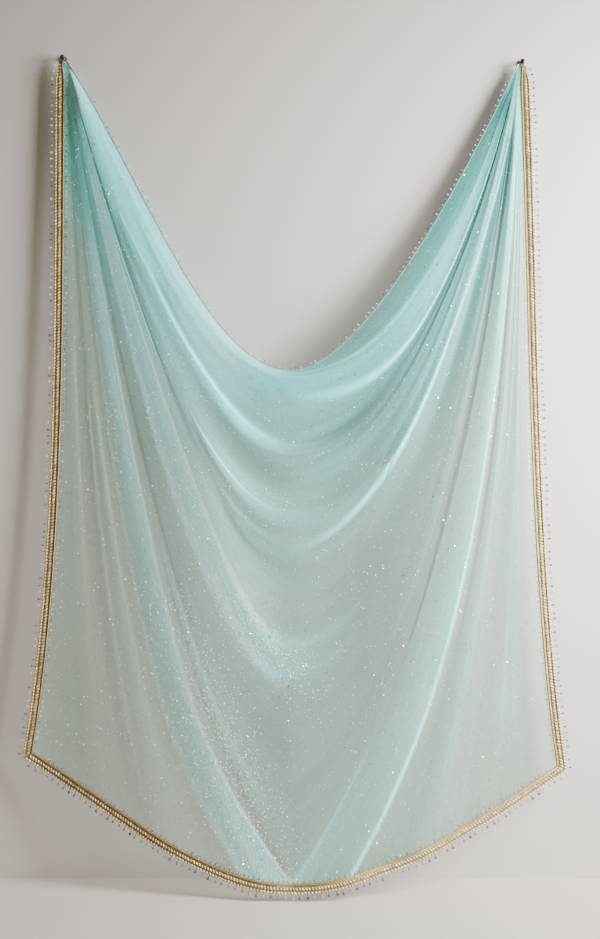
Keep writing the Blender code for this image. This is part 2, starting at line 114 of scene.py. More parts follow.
# %% Shader helper classes
def math_node(operation, swapped=False):
    """A method of Wire that adds a Math node."""

    def method(self, other=0.0):
        a, b = (other, self) if swapped else (self, other)
        return self.recipe.node("ShaderNodeMath", {"operation": operation}, {0: a, 1: b})

    return method


class Wire:
    """A node's output. Sums on it add Math nodes to its material."""

    def __init__(self, recipe, socket):
        self.recipe = recipe
        self.socket = socket

    __add__, __radd__ = math_node("ADD"), math_node("ADD", True)
    __sub__, __rsub__ = math_node("SUBTRACT"), math_node("SUBTRACT", True)
    __mul__, __rmul__ = math_node("MULTIPLY"), math_node("MULTIPLY", True)
    __rpow__ = math_node("POWER", True)
    sine = math_node("SINE")
    at_most = math_node("MINIMUM")


class Recipe:
    """One material: its Principled shader, and the nodes that feed it."""

    def __init__(self, name, **sockets):
        self.material = bpy.data.materials.new(name)
        self.material.use_nodes = True
        self.tree = self.material.node_tree
        self.shader = self.tree.nodes["Principled BSDF"]
        self.paint(**sockets)

    def paint(self, **sockets):
        """Set or link inputs of the shader. An underscore stands for a space in a name."""
        for socket, value in sockets.items():
            self.feed(self.shader, socket.replace("_", " "), value)

    def feed(self, node, socket, value):
        """Set a node's input, or link it to a wire."""
        target = node.inputs[socket]
        if isinstance(value, Wire):
            self.tree.links.new(value.socket, target)
        elif isinstance(value, tuple) and len(value) == 3 and target.type == "RGBA":
            target.default_value = (*value, 1.0)
        else:
            target.default_value = value

    def node(self, kind, settings=None, inputs=None, out=0):
        """Add a node: first its settings, then its inputs. Gives back one of its outputs."""
        made = self.tree.nodes.new(kind)
        for setting, value in (settings or {}).items():
            setattr(made, setting, value)
        for socket, value in (inputs or {}).items():
            self.feed(made, socket, value)
        return Wire(self, made.outputs[out])

    def attribute(self, name):
        return self.node("ShaderNodeAttribute", {"attribute_name": name}, out="Fac")

    def mix(self, factor, a, b):
        """A blend of two colours."""
        inputs = {0: factor, 6: a, 7: b}
        return self.node("ShaderNodeMix", {"data_type": "RGBA"}, inputs, out=2)

    def between(self, value, low, high, to_low=0.0, to_high=1.0):
        """A value moved from one range to another, and kept inside it."""
        inputs = {0: value, 1: low, 2: high, 3: to_low, 4: to_high}
        return self.node("ShaderNodeMapRange", {"clamp": True}, inputs)

    def noise(self, place, scale, detail=3.0, roughness=0.55):
        inputs = {"Vector": place, "Scale": scale, "Detail": detail, "Roughness": roughness}
        return self.node("ShaderNodeTexNoise", {}, inputs)

    def twist(self, place, scale):
        """Slanting stripes, like the turns of a twisted thread."""
        inputs = {"Vector": place, "Scale": scale}
        return self.node("ShaderNodeTexWave", {"bands_direction": "DIAGONAL"}, inputs)

    def bump(self, height, strength, distance):
        inputs = {"Height": height, "Strength": strength, "Distance": distance}
        return self.node("ShaderNodeBump", {}, inputs)

    def here(self):
        """The place of a point on its object."""
        return self.node("ShaderNodeTexCoord", out="Object")

    def uv(self, name):
        """The two directions of one of the piece's own maps, as separate wires."""
        place = self.node("ShaderNodeUVMap", {"uv_map": name})
        split = self.node("ShaderNodeSeparateXYZ", {}, {0: place})
        return split, Wire(self, split.socket.node.outputs[1])


print("shader helpers are ready")

# %% [markdown]
# ## Wall, floor and light
#
# The stage is a plain pale wall and a plain pale floor. It isn't part of the object. The wall
# shows through the net, so its shade matters to the cloth's colour. Its back is see-through,
# so that the cloth can be looked at from behind too.

# %% Stage
FLOOR_Z = -1.7185
WALL_Y = 0.0005
WALL_TOP = 2.5
STAGE_HALF = 4.0
FLOOR_FRONT = -6.0
FLOOR_BACK = 3.0
WALL_COLOUR = (0.66, 0.64, 0.615)
FLOOR_COLOUR = (0.62, 0.57, 0.52)


def stage_plane(name, corners, colour, one_sided):
    recipe = Recipe(name, Base_Color=colour, Roughness=0.85)
    if one_sided:
        recipe.paint(Alpha=1 - recipe.node("ShaderNodeNewGeometry", out="Backfacing"))
    new_piece(name, corners, [(0, 1, 2, 3)], recipe.material, smooth=False)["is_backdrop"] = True


left, right = VIEW_CENTRE[0] - STAGE_HALF, VIEW_CENTRE[0] + STAGE_HALF
upright = zip((left, right, right, left), (FLOOR_Z, FLOOR_Z, WALL_TOP, WALL_TOP))
level = zip((left, right, right, left), (FLOOR_FRONT, FLOOR_FRONT, FLOOR_BACK, FLOOR_BACK))
stage_plane("backdrop_wall", [(x, WALL_Y, z) for x, z in upright], WALL_COLOUR, True)
stage_plane("floor", [(x, y, FLOOR_Z) for x, y in level], FLOOR_COLOUR, False)
print("stage: wall and floor at z =", FLOOR_Z)

# %% [markdown]
# The main light is a window at the right. It lies close to the wall, so it grazes the folds
# and lights the flanks that face it. A weak warm lamp stands for the rest of the room.

# %% Lights
Lamp = namedtuple("Lamp", "name place aim wide tall watts colour spread")

WINDOW_COLOUR = (1.0, 0.975, 0.965)
ROOM_COLOUR = (1.0, 0.73, 0.42)
LAMPS = (
    Lamp("window", (2.2, -0.75, -0.33), (1.12, -0.06, -0.74), 0.8, 1.3, 74.0, WINDOW_COLOUR, 105),
    Lamp("room", (-0.3, -3.3, 0.1), (0.5, 0.0, -0.9), 2.4, 2.4, 4.6, ROOM_COLOUR, 180),
)
WORLD_LIGHT = 0.15
WORLD_COLOUR = (1.0, 0.76, 0.46)

for lamp in LAMPS:
    data = bpy.data.lights.new(lamp.name, "AREA")
    data.shape = "RECTANGLE"
    data.energy = lamp.watts
    data.size = lamp.wide
    data.size_y = lamp.tall
    data.color = lamp.colour
    data.spread = math.radians(lamp.spread)
    light = add_object(lamp.name, data)
    light.location = lamp.place
    light.rotation_euler = (Vector(lamp.aim) - light.location).to_track_quat("-Z", "Y").to_euler()
    light.visible_camera = False

world = bpy.data.worlds.new("soft room")
world.use_nodes = True
background = world.node_tree.nodes["Background"].inputs
background["Color"].default_value = (*WORLD_COLOUR, 1.0)
background["Strength"].default_value = WORLD_LIGHT
bpy.context.scene.world = world
print("lights:", [lamp.name for lamp in LAMPS])

# %% [markdown]
# ## The cloth's sizes
#
# The cloth hangs as two fans of folds, one from each hook. Each row of the tables is a crest
# or a trough. The upper rows swing across and meet their partners on the middle line, and the
# rest run down to the hem. These are the sizes that the solids were made with, so that the
# dressed cloth lies in the same place.

# %% Sizes of the cloth
# The hooks, and how far the gathered head of each fan hangs below its hook and reaches inwards.
HOOK_SPACING = 0.9595
RIGHT_HOOK_DROP = 0.0085
HEAD_DROP = 0.0066
HEAD_TOP = 0.009
# The lace, which is folded narrow at the hook and opens as it leaves it.
LACE_WIDTH = 0.020
LACE_HEAD_WIDTH = 0.008
LACE_OPENS_OVER = 0.045
LACE_OPENS_OUT = 0.6
LACE_OUTER_X = -0.0152
LACE_PUSH = 1.2
# The lowest point of the hem, on the middle line.
MIDDLE_X = 0.480
HEM_BOTTOM_Z = -1.704
# The distance from the wall at the sides and in the middle, and what it gains with each metre
# down. The spread is the half width over which the middle swells.
CLOTH_HANG_DEPTH = 0.015
SIDE_DEPTH_GAIN = 0.017
MIDDLE_DEPTH = 0.030
MIDDLE_DEPTH_GAIN = 0.0765
HALF_SPREAD = 0.480
HALF_SPREAD_GAIN = 0.040
SPREAD_CENTRE_X = 0.485
BELLY_ROUNDING = 1.5
print("hooks", HOOK_SPACING, "m apart, lace", LACE_WIDTH, "m wide")

# %% Fold tables
# lands: height on the middle line, or for the rows after "hem middle" the share of the half
# hem from the corner. leave and arrive: lean off plumb in degrees at the hook and at the end.
# pull and settle: how far the line keeps those leans. arm, belly, end: height in mm near the
# hook, half way and at the end. shade, fades: how pale the cloth is painted near the hook and
# from half way on, from -1 for painted shade in a fold to 1 for painted light on a crest, and
# more for a painted highlight.
Fold = namedtuple("Fold", "name lands leave pull arrive settle arm belly end shade fades")

LEFT_FOLDS = (
    Fold("top edge", -0.657, 32.0, 0.350, 90.0, 0.170, 0, -6, -4, 1.00, 0.95),
    Fold("crest under top edge", -0.678, 27.0, 0.290, 90.0, 0.185, 6, 5, 9, 1.20, 1.05),
    Fold("first trough", -0.794, 23.5, 0.270, 90.0, 0.180, 10, 10, -6, 1.20, 0.88),
    Fold("second crest", -0.835, 20.5, 0.250, 90.0, 0.200, 12, 13, 10, 1.20, 0.84),
    Fold("second trough", -0.912, 18.5, 0.260, 90.0, 0.205, 12.5, 13.5, -6, 1.35, 0.86),
    Fold("third crest", -0.980, 17.0, 0.290, 90.0, 0.200, 12.5, 12.5, 6, 1.35, 0.86),
    Fold("deep trough", -1.103, 15.3, 0.340, 90.0, 0.150, 12, 10.5, -5, 1.30, 0.68),
    Fold("long crest", -1.283, 13.3, 0.350, 90.0, 0.115, 11, 10.5, 7, 1.20, 0.68),
    Fold("trough below it", -1.500, 11.0, 0.400, 52.0, 0.280, 9.5, 7, -4, 1.20, 0.44),
    Fold("hem middle", -1.684, 9.0, 0.460, 33.0, 0.450, 8, 4, 0, 1.15, 0.42),
    Fold("falling crest", 0.88, 7.0, 0.440, 34.0, 0.430, 6, 5, 4, 1.10, 0.58),
    Fold("falling trough", 0.64, 5.4, 0.460, 25.0, 0.500, 4, 1, -2, 1.10, 0.52),
    Fold("side ridge", 0.44, 4.0, 0.470, 15.5, 0.520, 2, 1.5, 2, 1.05, 0.52),
    Fold("side trough", 0.31, 2.8, 0.490, 10.0, 0.520, 1, -0.5, -1, 1.00, 0.48),
    Fold("border ridge", 0.19, 1.6, 0.510, 7.0, 0.520, 0, 1, 1, 0.95, 0.42),
    Fold("border", 0.0, -0.5, 0.470, -10.0, 0.440, 0, 0, 0, 0.95, 0.40),
)

# The right half's shade and fades lie mostly below 0: it is painted darker than the left half, a painted
# shade.
RIGHT_FOLDS = (
    Fold("top edge", -0.657, 25.0, 0.200, 90.0, 0.150, 6, -2, -4, -0.75, -0.40),
    Fold("crest under top edge", -0.678, 19.5, 0.270, 90.0, 0.250, 8, 9, 6, -0.50, -0.25),
    Fold("first trough", -0.794, 16.0, 0.260, 90.0, 0.240, 10, 7, -8, -0.50, -0.50),
    Fold("second crest", -0.835, 13.8, 0.260, 90.0, 0.245, 11, 8, 6, -0.75, -0.70),
    Fold("second trough", -0.912, 12.2, 0.265, 90.0, 0.255, 12, 9, -6, -0.55, -0.65),
    Fold("third crest", -0.980, 10.8, 0.290, 90.0, 0.258, 13, 9, 6, -0.50, -0.65),
    Fold("deep trough", -1.103, 9.2, 0.360, 90.0, 0.262, 11, -3, -7, -0.70, -0.80),
    Fold("long crest", -1.283, 7.8, 0.440, 90.0, 0.259, 10, 0, 4, -0.70, -0.80),
    Fold("trough below it", -1.500, 6.6, 0.500, 52.0, 0.380, 10, -2, -5, -0.60, -0.65),
    Fold("hem middle", -1.684, 5.4, 0.560, 35.0, 0.550, 12, 1, 0, -0.35, -0.45),
    Fold("falling crest", 0.80, 4.2, 0.590, 28.0, 0.600, 13, 8, 5, -0.15, -0.28),
    Fold("falling trough", 0.64, 2.8, 0.600, 22.0, 0.620, 9, 0, -5, -0.05, -0.22),
    Fold("side ridge", 0.50, 1.4, 0.580, 15.6, 0.570, 6, 3, 4, 0.05, -0.12),
    Fold("side trough", 0.37, 0.2, 0.570, 10.0, 0.570, 4, 0, -3, 0.15, -0.08),
    Fold("border ridge", 0.25, -1.2, 0.545, 4.5, 0.540, 2, 1, 2, 0.20, -0.05),
    Fold("border", 0.0, -2.2, 0.510, -8.5, 0.420, 0, 0, 0, 0.20, -0.05),
)
HEM_MIDDLE_ROW = [row.name for row in LEFT_FOLDS].index("hem middle")
LAST_ROW = len(LEFT_FOLDS) - 1

Side = namedtuple("Side", "name hook inward folds corner hem_slope corner_pull bottom_pull")
LEFT_HOOK = np.array([0.0, 0.0])
RIGHT_HOOK = np.array([HOOK_SPACING, -RIGHT_HOOK_DROP])
LEFT = Side("left", LEFT_HOOK, 1.0, LEFT_FOLDS, np.array([-0.080, -1.456]), -30.5, 0.30, 0.16)
RIGHT = Side("right", RIGHT_HOOK, -1.0, RIGHT_FOLDS, np.array([1.049, -1.483]), -33.0, 0.22, 0.17)
SIDES = (LEFT, RIGHT)
print("folds on each side:", len(LEFT_FOLDS))

# %% [markdown]
# ## Curves
#
# Each fold line is a cubic Bezier curve. Between the rows of a table, values are read with a
# smooth curve that never overshoots, so a crest is never higher than its row says. All of
# these work on whole numpy arrays, because the cloth has tens of thousands of points.

# %% Curve helpers
def smooth_between(values, at):
    """Read a row of values at fractional places, smoothly and with no overshoot."""
    values = np.asarray(values, dtype=float)
    steps = np.diff(values)
    before = np.concatenate([steps[:1], steps])
    after = np.concatenate([steps, steps[-1:]])
    same_way = before * after > 0
    total = np.where(same_way, before + after, 1.0)
    slopes = np.where(same_way, 2 * before * after / total, 0.0)
    i = np.clip(np.asarray(at).astype(int), 0, len(values) - 2)
    f = at - i
    rise = f * f * (3 - 2 * f)
    start = f * (1 - f) ** 2
    finish = f * f * (f - 1)
    straight = values[i] * (1 - rise) + values[i + 1] * rise
    return straight + slopes[i] * start + slopes[i + 1] * finish


def smooth_step(x):
    x = np.clip(x, 0.0, 1.0)
    return x * x * (3 - 2 * x)


def ramp(value, start, stop):
    """From 0 at start to 1 at stop, with a soft beginning and end."""
    return smooth_step((value - start) / (stop - start))


def bell(x, wide):
    """1 at nought, and close to 0 from twice this far off."""
    return np.exp(-((x / wide) ** 2))


def unit(vectors):
    return vectors / np.linalg.norm(vectors, axis=-1, keepdims=True)


def pair(x, z):
    """Places on a plane, as an array whose last axis is (x, z)."""
    x, z = np.broadcast_arrays(x, z)
    return np.stack([x, z], axis=-1).astype(float)


def curve(start, leave, end, arrive):
    """The points that steer a Bezier curve which leaves and arrives in these directions."""
    return start, start + leave, end - arrive, end


def arc(points, f):
    """Points of a cubic Bezier curve."""
    a, b, c, d = points
    f = np.asarray(f)[..., None]
    g = 1 - f
    return a * g**3 + b * (3 * g * g * f) + c * (3 * g * f * f) + d * f**3


def lean(side, degrees):
    """The direction in front view that leans off plumb by this much towards the middle."""
    angle = np.radians(degrees)
    return pair(side.inward * np.sin(angle), -np.cos(angle))


def column(side, name, row):
    """A value of the fold table at rows, whole or fractional."""
    return smooth_between([getattr(fold, name) for fold in side.folds], row)


def leans(side, row):
    """How fold lines at these rows leave and arrive."""
    leave, pull, arrive, settle = (
        column(side, name, np.asarray(row)) for name in ("leave", "pull", "arrive", "settle")
    )
    return lean(side, leave) * pull[..., None], lean(side, arrive) * settle[..., None]


print("half way between 0, 1 and 3:", smooth_between([0, 1, 3], np.array([0.5, 1.5])).round(2))

# %% [markdown]
# ## The outline and the border
#
# The side edge and each half of the hem are one curve each. A point of the border lies a
# share of the lace's width inside them, with a mitre at the bottom corner where the two
# strips of lace meet.

# %% Outline
def half_hem(side):
    bottom = np.array([MIDDLE_X, HEM_BOTTOM_Z])
    slope = math.radians(side.hem_slope)
    out = np.array([side.inward * math.cos(slope), math.sin(slope)])
    level = np.array([side.inward, 0.0])
    return curve(side.corner, out * side.corner_pull, bottom, level * side.bottom_pull)


def side_edge(side):
    start = side.hook + np.array([side.inward * LACE_OUTER_X, -HEAD_DROP])
    leave, arrive = leans(side, LAST_ROW)
    return curve(start, leave, side.corner, arrive)


def mitre_run(side):
    """How far a line moves along the edges at the mitred corner, for each metre inwards."""
    up = -lean(side, side.folds[LAST_ROW].arrive)
    hem = half_hem(side)
    return 1 / math.tan(math.acos(float(up @ unit(hem[1] - hem[0]))) / 2)


def inside_edge(side, edge, f, inwards, corner_at):
    """Points this far inside an edge curve, mitred at the end of it that is the corner."""
    speed = 3 * np.linalg.norm(edge[1] - edge[0] if corner_at == 0 else edge[3] - edge[2])
    run = inwards * mitre_run(side) / speed
    f = f + (1 - f) * run if corner_at == 0 else f - f * run
    step = 1e-4
    ahead = unit(arc(edge, f + step) - arc(edge, f - step))
    across = pair(-ahead[..., 1], ahead[..., 0]) * side.inward
    return arc(edge, f) + across * np.asarray(inwards)[..., None]


def lace_width(side, f):
    edge = side_edge(side)
    fallen = np.linalg.norm(arc(edge, f) - edge[0], axis=-1)
    return LACE_HEAD_WIDTH + (LACE_WIDTH - LACE_HEAD_WIDTH) * ramp(fallen, 0, LACE_OPENS_OVER)


def side_point(side, f, share):
    """Places on the side border, a share of its lace's width in from the edge."""
    f = np.asarray(f, dtype=float)
    width = lace_width(side, f)
    folded_in = (LACE_WIDTH - width) * LACE_OPENS_OUT
    return inside_edge(side, side_edge(side), f, folded_in + share * width, 1)


def hem_point(side, f, share):
    """Places on the hem border, a share of the lace's width in from the edge."""
    return inside_edge(side, half_hem(side), np.asarray(f, dtype=float), share * LACE_WIDTH, 0)


print("mitre runs:", [round(mitre_run(side), 3) for side in SIDES])

# %% [markdown]
# ## Where the cloth lies
#
# `cloth_place` gives a point in front view, and `resting_depth` its distance from the wall
# before any fold is added. The cloth hangs clear of the wall most in its middle, because the
# loose cloth of the deep top edge rolls forwards there.

# %% Places in front view
def resting_depth(x, z):
    """Distance from the wall of the cloth without its folds."""
    drop = np.maximum(-z, 0.0)
    at_side = CLOTH_HANG_DEPTH + SIDE_DEPTH_GAIN * drop
    at_middle = np.maximum(MIDDLE_DEPTH + MIDDLE_DEPTH_GAIN * drop, at_side)
    spread = np.abs(x - SPREAD_CENTRE_X) / (HALF_SPREAD + HALF_SPREAD_GAIN * drop)
    return at_side + (at_middle - at_side) * np.maximum(0.0, 1 - spread * spread) ** BELLY_ROUNDING


def hem_share(side, row):
    """How far along the half hem a fold line lands, from 0 at the corner to 1 at the bottom."""
    lands = [1.0] + [fold.lands for fold in side.folds[HEM_MIDDLE_ROW + 1 :]]
    return smooth_between(lands, row - HEM_MIDDLE_ROW)


def fold_ends(side, row):
    """Where fold lines meet the middle line or the hem."""
    lands = [fold.lands for fold in side.folds[: HEM_MIDDLE_ROW + 1]]
    on_middle = pair(MIDDLE_X, smooth_between(lands, np.minimum(row, HEM_MIDDLE_ROW)))
    on_hem = hem_point(side, hem_share(side, np.maximum(row, HEM_MIDDLE_ROW)), 1.0)
    return np.where((row <= HEM_MIDDLE_ROW)[..., None], on_middle, on_hem)


def beside_lace(side, f):
    """How far the lace's inner edge lies from the plain line of the border row."""
    head, foot = side.hook - np.array([0.0, HEAD_DROP]), side_point(side, 1.0, 1.0)
    leave, arrive = leans(side, LAST_ROW)
    return side_point(side, f, 1.0) - arc(curve(head, leave, foot, arrive), f)


def cloth_place(side, row, f):
    """Places in front view: f runs from the hook to the end of the fold line."""
    share = row / LAST_ROW
    across = side.inward * (HEAD_TOP - HEAD_TOP * share)
    start = pair(side.hook[0] + across, side.hook[1] - HEAD_DROP)
    leave, arrive = leans(side, row)
    pushed = beside_lace(side, f) * (share**LACE_PUSH)[..., None]
    return arc(curve(start, leave, fold_ends(side, row), arrive), f) + pushed


one_row, one_f = np.array([7.0]), np.array([0.5])
print("long crest, half way down:", cloth_place(LEFT, one_row, one_f).round(3))

# %% Fold heights
FOLDS_OPEN = 0.11
ARM_REACH = 0.6


def fold_height(side, row, f):
    """How far the folds stand out. They start flat, where the hook squeezes them together."""
    arm, belly, end = (column(side, name, row) for name in ("arm", "belly", "end"))
    height = arm + (belly - arm) * ramp(f, 0, ARM_REACH)
    height += (end - height) * ramp(f, ARM_REACH, 1)
    return height / 1000 * ramp(f, 0, FOLDS_OPEN)


print("height of the long crest:", (fold_height(LEFT, one_row, one_f) * 1000).round(1), "mm")

# %% [markdown]
# ### Pleats
#
# Where sheer net folds back on itself it is doubled or trebled, and that makes the pale bands
# with crisp edges that such a cloth is known by. Each band is listed in the table. Its two edges
# are given as fold rows at six places down the cloth, so that a band may cross from one fold
# to the next as it falls. A dark band is a deep fold between two pleats. A band that crosses
# the middle line ends in a short band of the other side.
# Each band is also painted: painted light on a pale band and along its crisp edges, and painted shade on a
# dark one.

# %% Table of pleats
# left, right: the rows of its edges at the six PLEAT_PLACES, or one row for all of them.
# start, stop: where it fades in and out, and a stop above 1 runs to the end of the fold line.
# soft_left, soft_right: how soft its edges are, in rows. layers: how many more layers of net
# it has. line: the layers along a crisp edge, which also get a painted highlight. height: in mm.
# shade: how much paler it is painted, painted light on a pale band and painted shade below 0.
Pleat = namedtuple("Pleat", "name left right start stop soft_left soft_right layers line height shade")
PLEAT_PLACES = (0.0, 0.1, 0.25, 0.5, 0.75, 1.0)
# Edges that several rows share.
SWEEP = ((4.6, 3.8, 3.3, 2.5, 2.3, 2.3), (5.6, 5.2, 4.6, 3.2, 3.0, 3.0))
MIDDLE_EDGE = (10.0, 7.2, 5.9, 5.2, 5.2, 5.4)
FALLING_EDGE = (11.6, 11.2, 10.9, 10.6, 10.6, 10.2)

LEFT_PLEATS = (
    Pleat("top rib", (0.9, 1.1, 1.2, 1.3, 1.2, 1.2), (1.2, 1.4, 1.5, 1.6, 1.5, 1.5),
          0.35, 0.98, 0.3, 0.3, 0.2, 0, 1, 0.2),
    Pleat("upper band's end", 0.3, 1.3, 0.78, 1.2, 0.5, 0.3, 0.3, 0, 1, 0.15),
    Pleat("shade over sweep", (1.9, 1.9, 1.9, 2.1, 1.9, 1.8), (2.3, 2.3, 2.3, 2.5, 2.3, 2.3),
          0.42, 1.2, 0.7, 0.1, 0.1, 0, -3, -0.3),
    Pleat("sweep", *SWEEP, 0.3, 1.2, 0.5, 0.9, 0.1, 0, 1, 0),
    Pleat("sweep's crisp end", *SWEEP, 0.55, 1.2, 0.16, 0.9, 0.25, 0.4, 1, 0.2),
    Pleat("shade under sweep", (8.4, 6.0, 5.3, 4.7, 4.5, 4.4), (9.0, 6.6, 6.4, 5.8, 5.4, 5.2),
          0.02, 0.55, 0.7, 0.15, 0.1, 0, -1, -0.05),
    Pleat("long band", (8.4, 7.0, 6.9, 6.8, 6.75, 6.6), (8.9, 7.7, 7.6, 7.5, 7.25, 6.95),
          0.12, 1.2, 0.12, 0.12, 0.52, 0.9, 0, 0.55),
    Pleat("rib by long band", (8.0, 6.5, 6.3, 6.1, 6.0, 5.6), (8.2, 6.8, 6.6, 6.4, 6.3, 5.9),
          0.3, 1, 0.25, 0.25, 0.15, 0, 0, 0.05),
    Pleat("upper middle fold", (4.5, 4.6, 4.7, 4.7, 4.6, 4.5), (4.8, 4.9, 5.0, 5.0, 5.0, 5.0),
          0.62, 1.2, 0.15, 0.35, 0.35, 0.3, 2, 0.2),
    Pleat("lower middle fold", (5.4, 5.4, 5.4, 5.5, 5.4, 5.2), (5.7, 5.7, 5.7, 5.8, 5.8, 5.6),
          0.7, 1.2, 0.2, 0.25, 0.3, 0.2, 2, 0.15),
    Pleat("falling band", (9.3, 9.2, 9.2, 9.5, 9.8, 9.0), (10.4, 10.4, 10.5, 10.7, 10.8, 10.4),
          0.18, 1.2, 0.12, 0.12, 0.84, 0.9, 0, 0.7),
    Pleat("rib by falling band", (8.9, 8.9, 8.9, 8.9, 8.8, 8.2), (9.2, 9.2, 9.2, 9.2, 9.2, 8.7),
          0.55, 0.98, 0.3, 0.2, 0.25, 0.2, 1, 0.12),
    Pleat("inner side rib", (11.3, 11.3, 11.3, 11.4, 11.4, 11.3), (11.7, 11.7, 11.8, 11.9, 11.9, 11.8),
          0.4, 0.95, 0.3, 0.5, 0.15, 0, 1, 0.08),
    Pleat("outer side rib", (12.3, 12.3, 12.3, 12.4, 12.4, 12.3), (12.7, 12.7, 12.7, 12.8, 12.9, 12.8),
          0.4, 0.98, 0.3, 0.5, 0.12, 0.1, 1, 0.08),
    Pleat("thin stretch", 13.2, 13.6, 0.35, 0.8, 0.6, 0.3, -0.15, 0, -1, -0.08),
    Pleat("rib by lace", (14.1, 14.1, 14.2, 14.3, 14.2, 14.1), (14.6, 14.6, 14.7, 14.8, 14.7, 14.6),
          0.4, 1, 0.4, 0.4, 0.1, 0, 0, 0.04),
)

RIGHT_PLEATS = (
    Pleat("upper band", (4.5, 1.0, 1.0, 0.8, 0.7, 0.3), (8.0, 3.1, 2.8, 2.1, 1.6, 1.3),
          0.02, 1.2, 0.12, 0.14, 0.3, 0.9, 1, 0.15),
    Pleat("shade under upper band", (8.0, 3.1, 2.8, 2.1, 1.6, 1.4), (8.4, 3.6, 3.3, 2.6, 2.2, 2.0),
          0.22, 0.72, 0.1, 0.4, 0.15, 0, -1, -0.18),
    Pleat("middle band", (8.4, 3.6, 3.4, 3.1, 3.2, 3.2), MIDDLE_EDGE,
          0.02, 1.2, 0.25, 0.12, 0.2, 1, 2, 0.12),
    Pleat("long band's end", 6.6, 6.95, 0.9, 1.2, 0.3, 0.25, 0.2, 0, 0, 0.3),
    Pleat("rib on middle band", (3.6, 3.7, 3.8, 3.9, 3.9, 3.8), (3.9, 4.0, 4.2, 4.3, 4.4, 4.2),
          0.35, 0.9, 0.25, 0.4, 0.12, 0, 1, 0.08),
    Pleat("shade under middle band", MIDDLE_EDGE, (10.6, 8.0, 6.9, 6.2, 6.2, 6.2),
          0.06, 0.8, 0.1, 0.8, 0.3, 0, -1, -0.1),
    Pleat("rib in shade", (9.6, 7.7, 7.4, 7.2, 7.2, 7.2), (9.9, 8.1, 7.8, 7.6, 7.6, 7.6),
          0.08, 0.75, 0.25, 0.3, 0.1, 0, 1, 0.08),
    Pleat("falling band", (10.4, 9.2, 8.7, 8.5, 9.2, 9.4), FALLING_EDGE,
          0.06, 1.2, 0.5, 0.1, 0.22, 0.9, 2, 0.2),
    Pleat("shade by falling band", FALLING_EDGE, (12.0, 11.8, 11.5, 11.2, 11.2, 10.9),
          0.2, 1.2, 0.08, 0.5, -0.1, 0, -2, -0.1),
    Pleat("first side rib", (11.9, 11.9, 12.0, 12.0, 12.0, 12.0), (12.2, 12.2, 12.4, 12.4, 12.3, 12.3),
          0.05, 0.98, 0.18, 0.25, 0.25, 0.2, 1, 0.1),
    Pleat("second side rib", 12.9, (13.1, 13.1, 13.2, 13.3, 13.3, 13.2),
          0.05, 0.6, 0.18, 0.25, 0.2, 0.1, 1, 0.08),
    Pleat("third side rib", (13.6, 13.6, 13.7, 14.0, 14.1, 14.1), (13.8, 13.8, 14.0, 14.3, 14.5, 14.5),
          0.06, 0.96, 0.18, 0.25, 0.25, 0.2, 1, 0.12),
    Pleat("rib by lace", (14.6, 14.6, 14.7, 14.7, 14.8, 14.8), (14.8, 14.8, 14.9, 14.9, 15.0, 15.0),
          0.1, 0.9, 0.18, 0.18, 0.2, 0.1, 1, 0.06),
)
PLEATS = {"left": LEFT_PLEATS, "right": RIGHT_PLEATS}
print("pleats:", len(LEFT_PLEATS), "and", len(RIGHT_PLEATS))

# %% [markdown]
# The fold rows spread apart towards the middle line, so a crisp edge would grow wide and
# bright there. It is faded as it comes near, and the pleats of both sides are brought to
# their mean, so that the two halves of the cloth match where they meet.

# %% What the pleats add
# An edge that is softer than CRISP_EDGE rows has no line. EDGE_LINE is how wide the line is, in
# rows, and LINE_SHADE how much paler it is painted for each of its layers, a painted highlight
# along the edge. LINE_FADES is the share of it that is gone on the middle line, and
# MEETING_STARTS where down a fold line that begins.
CRISP_EDGE = 0.2
EDGE_LINE = 0.075
LINE_SHADE = 1.7
LINE_FADES = 0.70
PLEAT_ENDS = 0.10
MEETING_STARTS = 0.72


def edge_row(values, f):
    """The row of a pleat's edge at each place down the cloth."""
    values = np.broadcast_to(values, len(PLEAT_PLACES))
    return smooth_between(values, np.interp(f, PLEAT_PLACES, range(len(PLEAT_PLACES))))


def runs_between(f, start, stop, ends):
    """1 between two places down the cloth, with ends that fade to 0."""
    return smooth_step((f - start) / ends) * smooth_step((stop - f) / ends)


def meet(side, own, ends, row, f):
    """One side's values, with its upper rows brought to the mean of both sides' ends."""
    change = 0.5 * (ends[0] + ends[1]) - ends[SIDES.index(side)]
    return own + change * ramp(f, MEETING_STARTS, 1) * (1 - smooth_step(row - HEM_MIDDLE_ROW))


def own_pleats(side, row, f):
    """What one side's pleats add: layers of net, height in metres, and painted light and shade."""
    layers, height, shade = (np.zeros_like(f) for _ in range(3))
    faded = 1 - LINE_FADES * ramp(f, MEETING_STARTS, 1) * (row < HEM_MIDDLE_ROW)
    for pleat in PLEATS[side.name]:
        inside, lines = np.ones_like(f), np.zeros_like(f)
        past_left = row - edge_row(pleat.left, f)
        before_right = edge_row(pleat.right, f) - row
        for depth, soft in ((past_left, pleat.soft_left), (before_right, pleat.soft_right)):
            inside *= smooth_step(depth / soft + 0.5)
            lines += bell(depth, EDGE_LINE) * (soft < CRISP_EDGE)
        lines *= faded
        runs = runs_between(f, pleat.start, pleat.stop, PLEAT_ENDS)
        layers += (pleat.layers * inside + pleat.line * lines) * runs
        height += pleat.height / 1000 * inside * runs
        shade += (pleat.shade * inside + LINE_SHADE * pleat.line * lines) * runs
    return np.stack([layers, height * ramp(f, 0, FOLDS_OPEN), shade])


def pleat_sums(side, row, f):
    """The same, where the two sides also match on the middle line."""
    ends = [own_pleats(each, row, np.ones_like(f)) for each in SIDES]
    return meet(side, own_pleats(side, row, f), ends, row, f)


print("layers on the long band:", (1 + pleat_sums(LEFT, one_row, one_f)[0]).round(2))

# %% [markdown]
# Three of the pleats are real laps, where the cloth turns back under itself along one edge of
# a band. A lap moves points along the rows, forwards and then back, which turns the cloth
# into a flat S.

